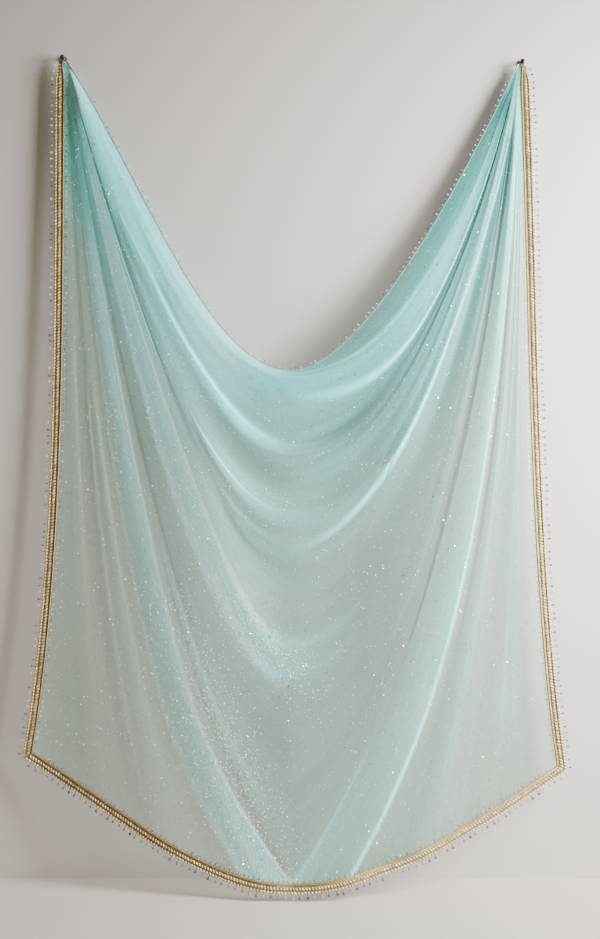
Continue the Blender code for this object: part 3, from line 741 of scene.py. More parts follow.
# %% Laps
# edge: the rows of the folded edge. rows: how many rows of cloth turn back, and below 0 they
# lie before the edge. LAP_TURNS is how strongly the points are moved, and LAP_SPAN makes the
# S as wide as rows says. LAP_RISE keeps the turns of the S from touching.
Lap = namedtuple("Lap", "edge rows start stop")
LAPS = {
    "left": (Lap(SWEEP[0], 0.42, 0.30, 1.00),),
    "right": (Lap(MIDDLE_EDGE, -0.60, 0.02, 0.80), Lap(FALLING_EDGE, -0.60, 0.06, 0.84)),
}
LAP_TURNS = 2.2
LAP_SPAN = 1.79
LAP_RISE = 0.0010
LAP_ENDS = 0.12


def laps(side, row, f):
    """The rows that the points are moved to, and how far each turn of an S lies from the next."""
    moved, rise = row.copy(), np.zeros_like(f)
    for lap in LAPS[side.name]:
        half = abs(lap.rows) / 2 * LAP_SPAN
        u = (row - (edge_row(lap.edge, f) + lap.rows / 2)) / half
        runs = runs_between(f, lap.start, lap.stop, LAP_ENDS)
        moved -= half * u * LAP_TURNS * np.exp(-(u**4)) * runs
        inwards = u * np.sign(lap.rows)
        rise += LAP_RISE * ramp(inwards, -1, 1) * ramp(inwards, 3, 1) * smooth_step(2 * runs)
    return np.clip(moved, 0.0, LAST_ROW), rise


print("laps:", {name: len(rows) for name, rows in LAPS.items()})

# %% [markdown]
# ## The net cloth
#
# The cloth is one sheet, a grid of fold lines on each side that meet on the middle line. A
# net is far thinner than a millimetre, so it is a single layer, and how dense it looks is
# left to the material. Each point also keeps its place on the flat cloth, for the weave, and
# a number that says how tightly the net is gathered there.

# %% Cloth grid
COLUMNS_PER_FOLD = 22
LENGTHS = 130
LENGTHS_CROWD_TO_HOOK = 1.25
FLAT_CORNER = math.radians(90)
Grid = namedtuple("Grid", "rows falls row f points flat")


def fall_shares(count=LENGTHS):
    """Places down a fold line, closer together near the hook."""
    return (np.arange(count + 1) / count) ** LENGTHS_CROWD_TO_HOOK


def in_space(place, out=0.0):
    """Places in front view, moved out to where the cloth rests and this much further."""
    x, z = place[..., 0], place[..., 1]
    return np.stack([x, -(resting_depth(x, z) + out), z], axis=-1)


def cloth_points(side, row, f):
    """Points of the cloth, with its folds, pleats and laps."""
    row, rise = laps(side, row, f)
    out = fold_height(side, row, f) + pleat_sums(side, row, f)[1] + rise
    return in_space(cloth_place(side, row, f), out)


def border_points(side, f, share):
    return in_space(side_point(side, f, share))


def hem_border_points(side, row, share):
    wave = column(side, "end", row) / 1000 + pleat_sums(side, row, np.ones_like(row))[1]
    return in_space(hem_point(side, hem_share(side, row), share), wave)


def side_grid(side):
    """One half of the cloth: rows down the fold lines, and their places on the flat cloth."""
    rows = np.linspace(0, LAST_ROW, LAST_ROW * COLUMNS_PER_FOLD + 1)
    falls = fall_shares()
    row, f = np.meshgrid(rows, falls, indexing="ij")
    points = cloth_points(side, row, f)
    fallen = np.linalg.norm(points - points[:, :1], axis=-1)
    angle = FLAT_CORNER * row / LAST_ROW
    return Grid(rows, falls, row, f, points, pair(fallen * np.cos(angle), fallen * np.sin(angle)))


grids = {side.name: side_grid(side) for side in SIDES}
print("points on each side:", grids["left"].points.shape[:2])

# %% [markdown]
# ### How dense the net looks
#
# A single layer of net lets most of the wall show. Where it is gathered there are two, three
# or more layers of thread in the same place, and it turns opaque and deep in colour. That is
# so close to the hooks, and a little in the rows that swing across. The top edge is thinner.

# %% Gathered number and shade
LEAST_LAYERS = 0.95
# Close to the hook: its layers, how far down they last at the top edge and at the side in
# metres, and how suddenly they end.
MOST_GATHERED = 3.6
GATHER_REACH = 0.60
SIDE_GATHER_REACH = 0.20
GATHER_POWER = 1.6
# The swinging rows: their layers, the row where they are reached, the rows where they fade
# out, and how far down they are reached.
SWUNG_LAYERS = 0.34
SWUNG_FROM_ROW = 1.5
SWUNG_FADES = {"left": (7.5, 11.0), "right": (10.5, 14.0)}
SWUNG_OPENS = 0.4
# The top edge: the share of its thread that is missing, over how many rows, and where down
# the fold lines that starts and ends.
EDGE_THINNED = 0.35
EDGE_ROWS = 1.2
EDGE_OPENS = 0.3
EDGE_CLOSES = (0.5, 0.9)
# Where down a fold line the table's fades are reached, and the limits of the painted light and shade.
SHADE_FADES = 0.42
MOST_PALE = 1.6
LEAST_PALE = -0.9


def gathered(side, row, f, points):
    """How many layers' worth of thread lie over each other at each point."""
    drop = np.linalg.norm(points - points[:, :1], axis=-1)
    reach = GATHER_REACH + (SIDE_GATHER_REACH - GATHER_REACH) * smooth_step(row / LAST_ROW)
    near_hook = MOST_GATHERED * np.exp(-((drop / reach) ** GATHER_POWER))
    swung = ramp(row, 0, SWUNG_FROM_ROW) * (1 - ramp(row, *SWUNG_FADES[side.name]))
    swung *= ramp(f, 0, SWUNG_OPENS)
    thinned = EDGE_THINNED * smooth_step(1 - row / EDGE_ROWS)
    thinned *= ramp(f, 0, EDGE_OPENS)
    thinned *= 1 - ramp(f, *EDGE_CLOSES)
    layers = (LEAST_LAYERS + near_hook + SWUNG_LAYERS * swung) * (1 - thinned)
    return layers + pleat_sums(side, row, f)[0]


def paleness(side, row, f):
    """Painted light and shade: below 0 deep in a fold, which lies in its own shade, 1 on a crest in the
    light, more for a painted highlight along an edge.
    """
    near, far = column(side, "shade", row), column(side, "fades", row)
    far = meet(side, far, [column(each, "fades", row) for each in SIDES], row, f)
    pale = near + (far - near) * ramp(f, 0, SHADE_FADES) + pleat_sums(side, row, f)[2]
    return np.clip(pale, LEAST_PALE, MOST_PALE)


for side in SIDES:
    grid = grids[side.name]
    layers = gathered(side, grid.row, grid.f, grid.points)
    print(side.name, "layers:", layers.min().round(2), "to", layers.max().round(2))

# %% Mesh helpers
def grid_faces(rows, columns, first=0, flip=False):
    """Quads of a grid of points that are numbered row by row."""
    i, j = np.meshgrid(np.arange(rows - 1), np.arange(columns - 1), indexing="ij")
    a = (first + i * columns + j).ravel()
    quads = np.stack([a, a + columns, a + columns + 1, a + 1], axis=-1)
    return (quads[:, ::-1] if flip else quads).tolist()


def edit_mesh(piece, operation, parts, **settings):
    """Change a piece's mesh with an operation on all of its verts or faces."""
    bm = bmesh.new()
    bm.from_mesh(piece.data)
    operation(bm, **{parts: getattr(bm, parts)}, **settings)
    bm.to_mesh(piece.data)
    bm.free()
    return piece


def numbers_of(items, name, kind, each=1):
    """One property of all of a mesh's items, as an array."""
    numbers = np.empty(len(items) * each, dtype=kind)
    items.foreach_get(name, numbers)
    return numbers.reshape(-1, each) if each > 1 else numbers


def add_numbers(piece, name, values):
    """Keep a number for each point of a piece, for its material to read."""
    numbers = np.asarray(values, dtype=np.float32)
    piece.data.attributes.new(name, "FLOAT", "POINT").data.foreach_set("value", numbers)


def add_map(piece, name, places):
    """Keep two numbers for each point of a piece, as one of its maps."""
    mesh = piece.data
    corners = numbers_of(mesh.loops, "vertex_index", np.int32)
    numbers = places[corners].ravel().astype(np.float32)
    mesh.uv_layers.new(name=name).data.foreach_set("uv", numbers)


print("a small grid has", len(grid_faces(3, 3)), "faces")

# %% [markdown]
# The net's material reads those numbers. Each layer of thread covers the same part of what
# still shows. Noise that is drawn out along the folds makes streaks, and finer noise a grain.
# Thin and dense net have colours of their own, and each is painted from a fold's shade to a crest
# in the light, with a painted highlight along crisp edges.

# %% Net material
# Painted shade in a fold (dark, deep) up to a crest in the light (pale), for dense net and then for thin
# net.
THREAD_SHADED = (0.035, 0.24, 0.22)
THREAD_DEEP = (0.085, 0.50, 0.46)
THREAD_PALE = (0.17, 0.88, 0.88)
# Painted highlights along crisp edges, whiter where the net has fewer layers.
THREAD_HIGHLIGHT = (0.44, 0.99, 1.00)
THREAD_WHITE_HIGHLIGHT = (0.66, 0.98, 1.00)
THIN_SHADED = (0.14, 0.22, 0.17)
THIN_DEEP = (0.25, 0.40, 0.33)
THIN_PALE = (0.70, 1.00, 0.88)
SHEEN_TINT = (0.85, 1.0, 0.97)
NET_COVER = 0.48
NET_PITCH = 0.0017
STREAKS_ACROSS = 64.0
STREAKS_DOWN = 3.0
# How much each kind of unevenness adds to the density and to the paleness.
EVEN, CLOUDY, STREAKY, GRAINY, MESHED = 0.38, 0.30, 0.50, 0.44, 0.08
STREAKS_PALE, GRAIN_PALE, BOTH_PALE = 0.6, 0.5, 0.55
# From thin to dense net, and from white to bright painted highlights on edges, in layers.
THICKENS = (0.85, 2.20)
EDGE_DEEPENS = (2.0, 3.6)
# Painted light and shade: from dark shade to deep, from there to pale in dense and in thin net, and on to a
# painted highlight on a bright edge.
SHADED_TO_DEEP = (-0.6, 0.0)
DENSE_TO_PALE = (0.0, 1.0)
THIN_TO_PALE = (0.0, 1.2)
PALE_TO_HIGHLIGHT = (1.1, 1.6)

net = Recipe("net", Roughness=0.5, Sheen_Weight=0.25, Sheen_Roughness=0.4, Sheen_Tint=SHEEN_TINT)
flat_u, flat_v = net.uv("flat")
row_place, fall_place = net.uv("folds")
layers, shade = net.attribute("layers"), net.attribute("shade")
turns = 2 * math.pi / NET_PITCH
mesh_wave = (flat_u * turns).sine() * (flat_v * turns).sine()
cloudy = net.noise(net.here(), 8.0, 4.0)
drawn_out = {0: row_place * STREAKS_ACROSS, 1: fall_place * STREAKS_DOWN}
streaks = net.noise(net.node("ShaderNodeCombineXYZ", {}, drawn_out), 1.0, 4.0, 0.62)
speckle = net.noise(net.here(), 420.0, 2.0)
dense = layers * (EVEN + CLOUDY * cloudy + STREAKY * streaks + GRAINY * speckle)
cover = 1 - (1 - NET_COVER) ** dense
# pale is the painted light and shade at each point, with random streaks and grain in it.
pale = shade + STREAKS_PALE * streaks + GRAIN_PALE * speckle - BOTH_PALE
fold_shade = net.between(pale, *SHADED_TO_DEEP)
edge_highlight = net.mix(net.between(layers, *EDGE_DEEPENS), THREAD_WHITE_HIGHLIGHT, THREAD_HIGHLIGHT)
folded = net.mix(fold_shade, THREAD_SHADED, THREAD_DEEP)
dense_colour = net.mix(net.between(pale, *DENSE_TO_PALE), folded, THREAD_PALE)
dense_colour = net.mix(net.between(pale, *PALE_TO_HIGHLIGHT), dense_colour, edge_highlight)
folded = net.mix(fold_shade, THIN_SHADED, THIN_DEEP)
thin_colour = net.mix(net.between(pale, *THIN_TO_PALE), folded, THIN_PALE)
net.paint(
    Alpha=(cover * (1 + MESHED * mesh_wave)).at_most(1.0),
    Base_Color=net.mix(net.between(layers, *THICKENS), thin_colour, dense_colour),
    Normal=net.bump(mesh_wave, 0.25, 0.0003),
)
print("net material nodes:", len(net.tree.nodes))

# %% Net cloth piece
def make_cloth():
    """Both halves, welded on the middle line, with the borders under the lace."""
    kept = {name: [] for name in ("points", "flat", "folds", "layers", "shade")}
    faces, count = [], 0
    for side in SIDES:
        rows, falls, row, f, points, flat = grids[side.name]
        # The border under the side's lace is one more row. What it keeps is the last row's.
        block = np.concatenate([points, border_points(side, falls, 0.0)[None]])
        size, wide = block.shape[0] * block.shape[1], block.shape[1]
        moved = laps(side, row, f)[0]
        numbers = {
            "flat": flat,
            "folds": pair(row / LAST_ROW, f if side is LEFT else 2 - f),
            "layers": gathered(side, moved, f, points),
            "shade": paleness(side, moved, f),
        }
        on_hem = slice(HEM_MIDDLE_ROW * COLUMNS_PER_FOLD, len(rows) - 1)
        for name, values in numbers.items():
            last = values[-1:] + (np.array([0.0, LACE_WIDTH]) if name == "flat" else 0.0)
            values = np.concatenate([values, last])
            kept[name] += [values.reshape(-1, *values.shape[2:]), values[on_hem, -1]]
        hem = hem_border_points(side, rows[on_hem], 0.0)
        kept["points"] += [block.reshape(-1, 3), hem]
        # The hem's border is a strip of quads from the feet of the fold lines.
        feet = count + np.arange(on_hem.start + 1, len(rows) + 1) * wide - 1
        edge = np.append(count + size + np.arange(len(hem)), count + size - 1)
        quads = np.stack([feet[:-1], feet[1:], edge[1:], edge[:-1]], axis=-1)
        flip = side.inward > 0
        faces += grid_faces(*block.shape[:2], count, flip)
        faces += (quads[:, ::-1] if flip else quads).tolist()
        count += size + len(hem)
    joined = {name: np.concatenate(parts) for name, parts in kept.items()}
    cloth = new_piece("net_cloth", joined["points"], faces, net.material)
    for name in ("layers", "shade"):
        add_numbers(cloth, name, joined[name])
    for name in ("flat", "folds"):
        add_map(cloth, name, joined[name])
    return edit_mesh(cloth, bmesh.ops.remove_doubles, "verts", dist=0.00001)


cloth = make_cloth()
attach(cloth, "root")
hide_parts("net_panel")
print("cloth faces:", len(cloth.data.polygons))

# %% [markdown]
# ## Gota lace
#
# Gota is a woven ribbon of gold thread. This one has a thick twisted cord along its outer
# edge, a row of slanted beads of braid along its middle and a thinner cord along its inner
# edge. Each part is laid along the border's own points: a place on the lace is a distance
# along the border, a share of its width, and a height above the cloth.

# %% Border lines
SIDE_STEPS = 400
HEM_STEPS = 240
END_GAP = 0.0006


class Border:
    """A strip of the cloth's edge that lace is sewn on, between two lines of points."""

    def __init__(self, name, outer, inner):
        self.name, self.outer, self.inner = name, outer, inner
        centre = (outer + inner) / 2
        steps = np.linalg.norm(np.diff(centre, axis=0), axis=-1)
        self.run = np.concatenate([[0.0], np.cumsum(steps)])
        self.length = self.run[-1]
        along = np.gradient(centre, axis=0)
        normal = np.cross(inner - outer, along)
        self.along = unit(along)
        self.normal = unit(normal * -np.sign(normal[:, 1:2]))

    def read(self, lines, distance):
        return np.stack([np.interp(distance, self.run, lines[:, k]) for k in range(3)], axis=-1)

    def at(self, distance, share, height):
        """Points at a distance along, a share of the width in, and a height above the cloth."""
        outer, inner = self.read(self.outer, distance), self.read(self.inner, distance)
        share, height = np.asarray(share)[..., None], np.asarray(height)[..., None]
        return outer + (inner - outer) * share + self.read(self.normal, distance) * height

    def frame_at(self, distance, share, height):
        """The same points, with the way along, the way out of the cloth and the normal."""
        along, normal = unit(self.read(self.along, distance)), self.read(self.normal, distance)
        out = np.cross(along, normal)
        outward = self.read(self.outer - self.inner, distance)
        out = unit(out * np.sign(np.sum(out * outward, axis=-1, keepdims=True)))
        return self.at(distance, share, height), along, out, normal

    def all_along(self, spacing):
        """Distances from one end to the other, just short of both."""
        count = int(self.length / spacing) + 1
        return np.linspace(END_GAP, self.length - END_GAP, count)

    def places(self, pitch, start, stop):
        """Distances one pitch apart, with a length left free at each end."""
        return np.linspace(start, self.length - stop, int((self.length - start - stop) / pitch))


def across_border(name, lines_of):
    """A border that runs from left to right, from the outer and inner lines of both sides."""
    lines = zip(lines_of(LEFT), lines_of(RIGHT))
    return Border(name, *(np.concatenate([left, right[-2::-1]]) for left, right in lines))


def side_border(side):
    f = fall_shares(SIDE_STEPS)
    return Border(side.name, border_points(side, f, 0.0), border_points(side, f, 1.0))


def hem_lines(side):
    row = np.linspace(LAST_ROW, HEM_MIDDLE_ROW, HEM_STEPS)
    return [hem_border_points(side, row, share) for share in (0.0, 1.0)]


borders = [side_border(LEFT), side_border(RIGHT), across_border("hem", hem_lines)]
for border in borders:
    print("lace on", border.name, round(float(border.length), 3), "m")

# %% Gold thread materials
# Each thread has the scale of its turns, how metallic it is, and its darkest and lightest gold.
GOLD_THREADS = {
    # The ribbon is darker than the cords and grains on it: partly its own colour, and partly painted shade
    # in the grooves between them.
    "ribbon": (420.0, 0.3, (0.26, 0.195, 0.085), (0.66, 0.50, 0.25)),
    "cord": (300.0, 0.8, (0.60, 0.47, 0.24), (1.0, 0.90, 0.57)),
    "braid": (480.0, 0.45, (0.36, 0.28, 0.13), (0.98, 0.83, 0.47)),
    "rope": (480.0, 0.5, (0.60, 0.47, 0.24), (0.97, 0.85, 0.56)),
    "inner cord": (300.0, 0.45, (0.38, 0.29, 0.13), (0.84, 0.68, 0.36)),
}


def gold_thread(name, turns, metallic, darkest, lightest):
    """Gold metallic thread: fine turns of thread, each a little paler or duller than the next."""
    gold = Recipe(name, Metallic=metallic)
    place = gold.here()
    worn = gold.noise(place, 60.0, 3.0)
    strands = gold.twist(place, turns)
    tone = 0.45 * gold.attribute("shade") + 0.35 * worn + 0.30 * strands
    gold.paint(
        Base_Color=gold.mix(gold.between(tone, 0.25, 0.85), darkest, lightest),
        Roughness=0.24 + 0.22 * worn,
        Normal=gold.bump(strands, 0.5, 0.0005),
    )
    return gold.material


golds = {name: gold_thread(f"gota {name}", *look) for name, look in GOLD_THREADS.items()}
print("gold materials:", list(golds))

# %% Lace helpers
LACE_LIFT = 0.0004
RIBBON_SPACING = 0.004
CORD_STRANDS = 2
CORD_SWELL = 0.20
CORD_LIFT = 1.15
scatter = np.random.default_rng(7)


def uneven(distance, rate, shift=0.0):
    """From -1 to 1, and different at every place along a border."""
    return np.sin(distance * rate + shift)


def around(count):
    """Angles evenly round a circle."""
    return np.linspace(0, 2 * np.pi, count, endpoint=False)


def ring_points(centre, first, second, angle, radius):
    """Rings of points round a row of centres, in the plane of two directions."""
    cos, sin = np.cos(angle)[None, :, None], np.sin(angle)[None, :, None]
    return centre[:, None] + (first[:, None] * cos + second[:, None] * sin) * radius


def tube_piece(name, rings, material, smooth=True):
    """A closed tube through rings of points, with its ends capped."""
    count, sides = rings.shape[:2]
    faces = []
    for first in range(0, (count - 1) * sides, sides):
        for j in range(sides):
            a, b = first + j, first + (j + 1) % sides
            faces.append((a, b, b + sides, a + sides))
    faces.append(tuple(range(sides - 1, -1, -1)))
    faces.append(tuple(range((count - 1) * sides, count * sides)))
    piece = new_piece(name, rings.reshape(-1, 3), faces, material, smooth)
    return edit_mesh(piece, bmesh.ops.recalc_face_normals, "faces")


def strip_along(name, border, section, material):
    """A closed strip whose section is given as (share across, height) pairs."""
    distance = border.all_along(RIBBON_SPACING)
    rings = np.stack([border.at(distance, share, high) for share, high in section], axis=1)
    return tube_piece(name, rings, material, smooth=False)


def twisted_cord(name, border, share, radius, pitch, material, spacing, sides):
    """A cord of twisted strands along a border: its section has one lobe for each strand."""
    distance = border.all_along(spacing)
    centre, _, out, normal = border.frame_at(distance, share, LACE_LIFT + radius * CORD_LIFT)
    angle = around(sides)
    turn = 2 * np.pi * distance / pitch
    lobes = np.cos(CORD_STRANDS * (angle[None] - turn[:, None]))
    swell = radius * (1 + CORD_SWELL * lobes)
    return tube_piece(name, ring_points(centre, out, normal, angle, swell[..., None]), material)


def join_copies(name, pattern, centres, axes, sizes, material):
    """One mesh of many copies of a small modelled shape, each with its own axes and shade."""
    verts = np.array([tuple(v.co) for v in pattern.data.vertices])
    # Blender numbers the faces of a sphere differently in each run, so they are put in order.
    faces = sorted(tuple(p.vertices) for p in pattern.data.polygons)
    turned = np.einsum("vi,nic->nvc", verts, axes)
    placed = centres[:, None] + turned * np.asarray(sizes)[:, None, None]
    firsts = range(0, len(centres) * len(verts), len(verts))
    all_faces = [tuple(v + first for v in face) for first in firsts for face in faces]
    piece = new_piece(name, placed.reshape(-1, 3), all_faces, material)
    add_numbers(piece, "shade", np.repeat(scatter.random(len(centres)), len(verts)))
    return piece


def finish_trim(piece, slot, *replaced):
    """Attach a trim to the root body, and hide the solids that it stands for. Its slot, what it rides on,
    is not used.
    """
    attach(piece, "root")
    if replaced:
        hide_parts(*replaced)
    return piece


print("lace helpers are ready")

# %% Ribbon and inner cord
RIBBON_SECTION = (
    (0.01, LACE_LIFT),
    (0.01, 0.0009),
    (0.24, 0.0011),
    (0.28, 0.0007),
    (0.34, 0.0011),
    (0.66, 0.0011),
    (0.72, 0.0007),
    (0.82, 0.0007),
    (0.99, 0.0009),
    (0.99, LACE_LIFT),
)
INNER_CORD = 0.90
INNER_CORD_RADIUS = 0.00115
INNER_CORD_PITCH = 0.0088

for border in borders:
    ribbon = strip_along(f"gota_ribbon_{border.name}", border, RIBBON_SECTION, golds["ribbon"])
    finish_trim(ribbon, "gota", f"gota_{border.name}")
    inner_cord = twisted_cord(
        f"inner_cord_{border.name}", border, INNER_CORD, INNER_CORD_RADIUS, INNER_CORD_PITCH,
        golds["inner cord"], spacing=0.0022, sides=8,
    )
    finish_trim(inner_cord, "gota")
    print(border.name, len(ribbon.data.polygons), len(inner_cord.data.polygons))

# %% [markdown]
# ### Rope and braid
#
# The thick outer cord is a rope, and the braid along the middle looks like a row of grains of
# rice that lie aslant. Both are rows of short plump grains, so one grain is modelled from a
# sphere, stretched in edit mode, and copies of it are laid along each border at two slants.

# %% Grains of rope and braid
Grain = namedtuple("Grain", "name share height length width slant pitch material")

GRAINS = (
    Grain("rope", 0.115, 0.0020, 0.0034, 0.0021, 26, 0.0066, golds["rope"]),
    Grain("braid", 0.50, 0.0017, 0.0042, 0.0022, 48, 0.0063, golds["braid"]),
)
GRAINS_START = 0.008
GRAINS_STOP = 0.004
GRAIN_FLATNESS = 0.85
SLANT_VARIES = 0.09
SIZE_VARIES = 0.08


def deselect_all():
    if bpy.context.object and bpy.context.object.mode != "OBJECT":
        bpy.ops.object.mode_set(mode="OBJECT")
    bpy.ops.object.select_all(action="DESELECT")


def model_grain():
    """A grain one metre long and one wide, flattened a little, with its length along x."""
    deselect_all()
    bpy.ops.mesh.primitive_uv_sphere_add(segments=8, ring_count=6, radius=1.0)
    grain = bpy.context.object
    bpy.ops.object.mode_set(mode="EDIT")
    bpy.ops.mesh.select_all(action="SELECT")
    bpy.ops.transform.rotate(value=math.radians(90), orient_axis="Y", center_override=(0, 0, 0))
    bpy.ops.transform.resize(value=(1.0, 1.0, GRAIN_FLATNESS), center_override=(0, 0, 0))
    bpy.ops.mesh.normals_make_consistent(inside=False)
    bpy.ops.object.mode_set(mode="OBJECT")
    return grain


def row_of_grains(border, grain):
    """Grains along a border, smaller where the lace narrows to its hook."""
    distance = border.places(grain.pitch, GRAINS_START, GRAINS_STOP)
    centre, along, out, normal = border.frame_at(distance, grain.share, grain.height)
    wide = np.linalg.norm(border.read(border.outer - border.inner, distance), axis=-1)
    sizes = np.minimum(wide / LACE_WIDTH, 1.0) * (1.0 + SIZE_VARIES * uneven(distance, 913.0))
    slant = math.radians(grain.slant) + scatter.normal(0, SLANT_VARIES, (len(distance), 1))
    long_way = (along * np.cos(slant) + out * np.sin(slant)) * grain.length
    cross_way = (out * np.cos(slant) - along * np.sin(slant)) * grain.width
    axes = np.stack([long_way, cross_way, normal * grain.width], axis=1)
    name = f"{grain.name}_{border.name}"
    return join_copies(name, grain_shape, centre, axes, sizes, grain.material)


grain_shape = model_grain()
for border in borders:
    for grain in GRAINS:
        laid = finish_trim(row_of_grains(border, grain), "gota")
        print(laid.name, "faces:", len(laid.data.polygons))

# %% [markdown]
# ### Picots
#
# A picot is a loop of thread that stands out of an edge: a short stalk with a small ring at
# its end. It is modelled once from a torus and a cylinder. The rings along a real edge lie
# every way, so each copy is turned about its own stalk by a different amount.

# %% Picots
PICOT_RING = 0.0017
PICOT_THREAD = 0.00090
PICOT_STALK = 0.0060
STALK_THINNER = 0.6
PICOT_LEAN = 0.16
PICOT_VARIES = 0.12
# way is 1 for outwards and -1 for inwards over the net. turns: how far they turn, in radians.
# start and stop: the lengths left free at the ends of the border.
Picots = namedtuple("Picots", "share height pitch way turns start stop")
OUTER_PICOTS = Picots(0.03, 0.0012, 0.0138, 1, 0.9, 0.008, 0.006)
INNER_PICOTS = Picots(0.97, 0.0009, 0.0105, -1, 0.5, 0.030, 0.022)
TOP_PICOTS = Picots(0.0, 0.0008, 0.0118, 1, 1.1, 0.030, 0.030)
INNER_PICOT_SIZE = 0.62


def model_picot():
    """A picot whose stalk runs along y, out of the edge, with its ring in the plane of x and y."""
    deselect_all()
    bpy.ops.mesh.primitive_torus_add(
        location=(0, PICOT_STALK + PICOT_RING, 0),
        major_radius=PICOT_RING,
        minor_radius=PICOT_THREAD,
        major_segments=10,
        minor_segments=5,
    )
    ring = bpy.context.object
    deselect_all()
    bpy.ops.mesh.primitive_cylinder_add(
        vertices=5,
        radius=PICOT_THREAD * STALK_THINNER,
        depth=PICOT_STALK,
        location=(0, PICOT_STALK / 2, 0),
        rotation=(math.radians(90), 0, 0),
    )
    ring.select_set(True)
    bpy.context.view_layer.objects.active = ring
    bpy.ops.object.transform_apply()
    bpy.ops.object.join()
    return ring


def row_of_picots(name, border, row, size, material):
    """Picots along a border, each with its own lean, turn and size."""
    distance = border.places(row.pitch, row.start, row.stop)
    centre, along, out, normal = border.frame_at(distance, row.share, row.height)
    turn = row.turns * uneven(distance, 571.0, 1.3 * row.way)
    lean_by = PICOT_LEAN * uneven(distance, 233.0)
    out = unit(out * row.way + along * lean_by[:, None])
    side_way = along * np.cos(turn)[:, None] + normal * np.sin(turn)[:, None]
    side_way -= out * np.sum(side_way * out, axis=-1, keepdims=True)
    side_way = unit(side_way)
    axes = np.stack([side_way, out, np.cross(side_way, out)], axis=1)
    sizes = size * (1 + PICOT_VARIES * uneven(distance, 377.0))
    return join_copies(name, picot, centre, axes, sizes, material)


def picot_thread(name, dark, light):
    """Fine thread of which some picots are painted as if they catch the light, a painted glint, and others
    stay dark.
    """
    thread = Recipe(name, Metallic=0.3, Roughness=0.4)
    own = thread.attribute("shade")
    worn = thread.noise(thread.here(), 200.0, 2.0)
    tone = thread.between(own + 0.3 * worn, 0.35, 0.85)
    thread.paint(Base_Color=thread.mix(tone, dark, light))
    return thread.material


# The left side's picots are painted paler, and those of the right side and the hem darker: painted light
# and painted shade on one thread.
lit_picots = picot_thread("lit gota picots", (0.16, 0.12, 0.065), (0.98, 0.88, 0.66))
shaded_picots = picot_thread("shaded gota picots", (0.10, 0.07, 0.035), (0.55, 0.41, 0.19))
picot = model_picot()
looks = ((lit_picots, 1.0), (shaded_picots, 1.12), (shaded_picots, 1.12))
for border, (thread, size) in zip(borders, looks):
    outer_row = row_of_picots(f"picots_{border.name}", border, OUTER_PICOTS, size, thread)
    finish_trim(outer_row, "gota", f"picot_{border.name}")
    name = f"inner_picots_{border.name}"
    inner_row = row_of_picots(name, border, INNER_PICOTS, INNER_PICOT_SIZE, thread)
    finish_trim(inner_row, "gota")
    print(border.name, len(outer_row.data.polygons), len(inner_row.data.polygons))

# %% [markdown]
# ## The top edge
#
# The top edge has no gold. It is finished with a fine cord in the net's own colour and tiny
# picots. Close to each hook the last of the gold cord is folded over it.

# %% Top edging
EDGING_RADIUS = 0.0006
EDGING_PITCH = 0.006
TOP_STEPS = 300
TOP_BORDER_ROWS = (0.0, 0.25)
TOP_PICOT_SIZE = 0.70
AQUA_DARK = (0.12, 0.29, 0.27)
AQUA_LIGHT = (0.34, 0.60, 0.57)


def top_lines(side):
    f = fall_shares(TOP_STEPS)
    return [cloth_points(side, np.full_like(f, row), f) for row in TOP_BORDER_ROWS]


def aqua_thread():
    aqua = Recipe("aqua edging", Roughness=0.6)
    place = aqua.here()
    tone = aqua.between(aqua.noise(place, 140.0, 3.0), 0.3, 0.7)
    strands = aqua.twist(place, 300.0)
    aqua.paint(Base_Color=aqua.mix(tone, AQUA_DARK, AQUA_LIGHT), Normal=aqua.bump(strands, 0.5, 0.0004))
    return aqua.material


top = across_border("top", top_lines)
edging = twisted_cord(
    "top_edging", top, 0.0, EDGING_RADIUS, EDGING_PITCH, aqua_thread(), spacing=0.004, sides=6
)
finish_trim(edging, "edging", "picot_top")
aqua_picots = picot_thread("aqua picots", (0.09, 0.13, 0.12), (0.74, 0.86, 0.82))
finish_trim(row_of_picots("top_picots", top, TOP_PICOTS, TOP_PICOT_SIZE, aqua_picots), "edging")
print("top edge:", round(float(top.length), 3), "m")

# %% Gold cord ends at the hooks
# Each end starts END_RISE above the top edge, lies down on it over END_REACH and tapers off,
# with small twists along it.
END_START = 0.0005
END_REACH = 0.024
END_RISE = 0.006
END_RADIUS = 0.0017
END_SWELL = 1.15
END_TAPER = 0.75
END_TWIST = 0.16

for side, start in ((LEFT, 0.0), (RIGHT, top.length)):
    run = np.linspace(END_START, END_REACH, 24)
    done = run / END_REACH
    height = END_RISE * (1 - done) + END_RADIUS
    centre, _, out, normal = top.frame_at(start + side.inward * run, 0.0, height)
    swell = END_RADIUS * (END_SWELL - END_TAPER * done**2) * (1 + END_TWIST * uneven(run, 1400.0))
    rings = ring_points(centre, out, normal, around(8), swell[:, None, None])
    cord_end = finish_trim(tube_piece(f"cord_end_{side.name}", rings, golds["rope"]), "gota")
    print(cord_end.name, "faces:", len(cord_end.data.polygons))

# %% [markdown]
# ## Glitter
#
# Real glitter is cut as tiny hexagons and glued to the net a little unevenly. Each flake lies
# nearly flat on the cloth, tipped its own way, so that only some of them catch the light, and the
# brightest of them also glow, a painted glint. There are more of them along the crests and in the
# lower part of the cloth's left half. They are painted duller in the right half, a painted shade,
# and are duller along the top edge too.

# %% Glitter flakes
FLAKES = 11000
FLAKE_SIDES = 6
FLAKE_RADIUS = 0.00100
FLAKE_LIFT = 0.0008
FLAKE_TIP = 0.40
# Sizes run from LEAST to LEAST + VARIES of the radius, and large ones are rare.
FLAKE_LEAST = 0.65
FLAKE_VARIES = 0.5
FLAKE_RARITY = 2.5
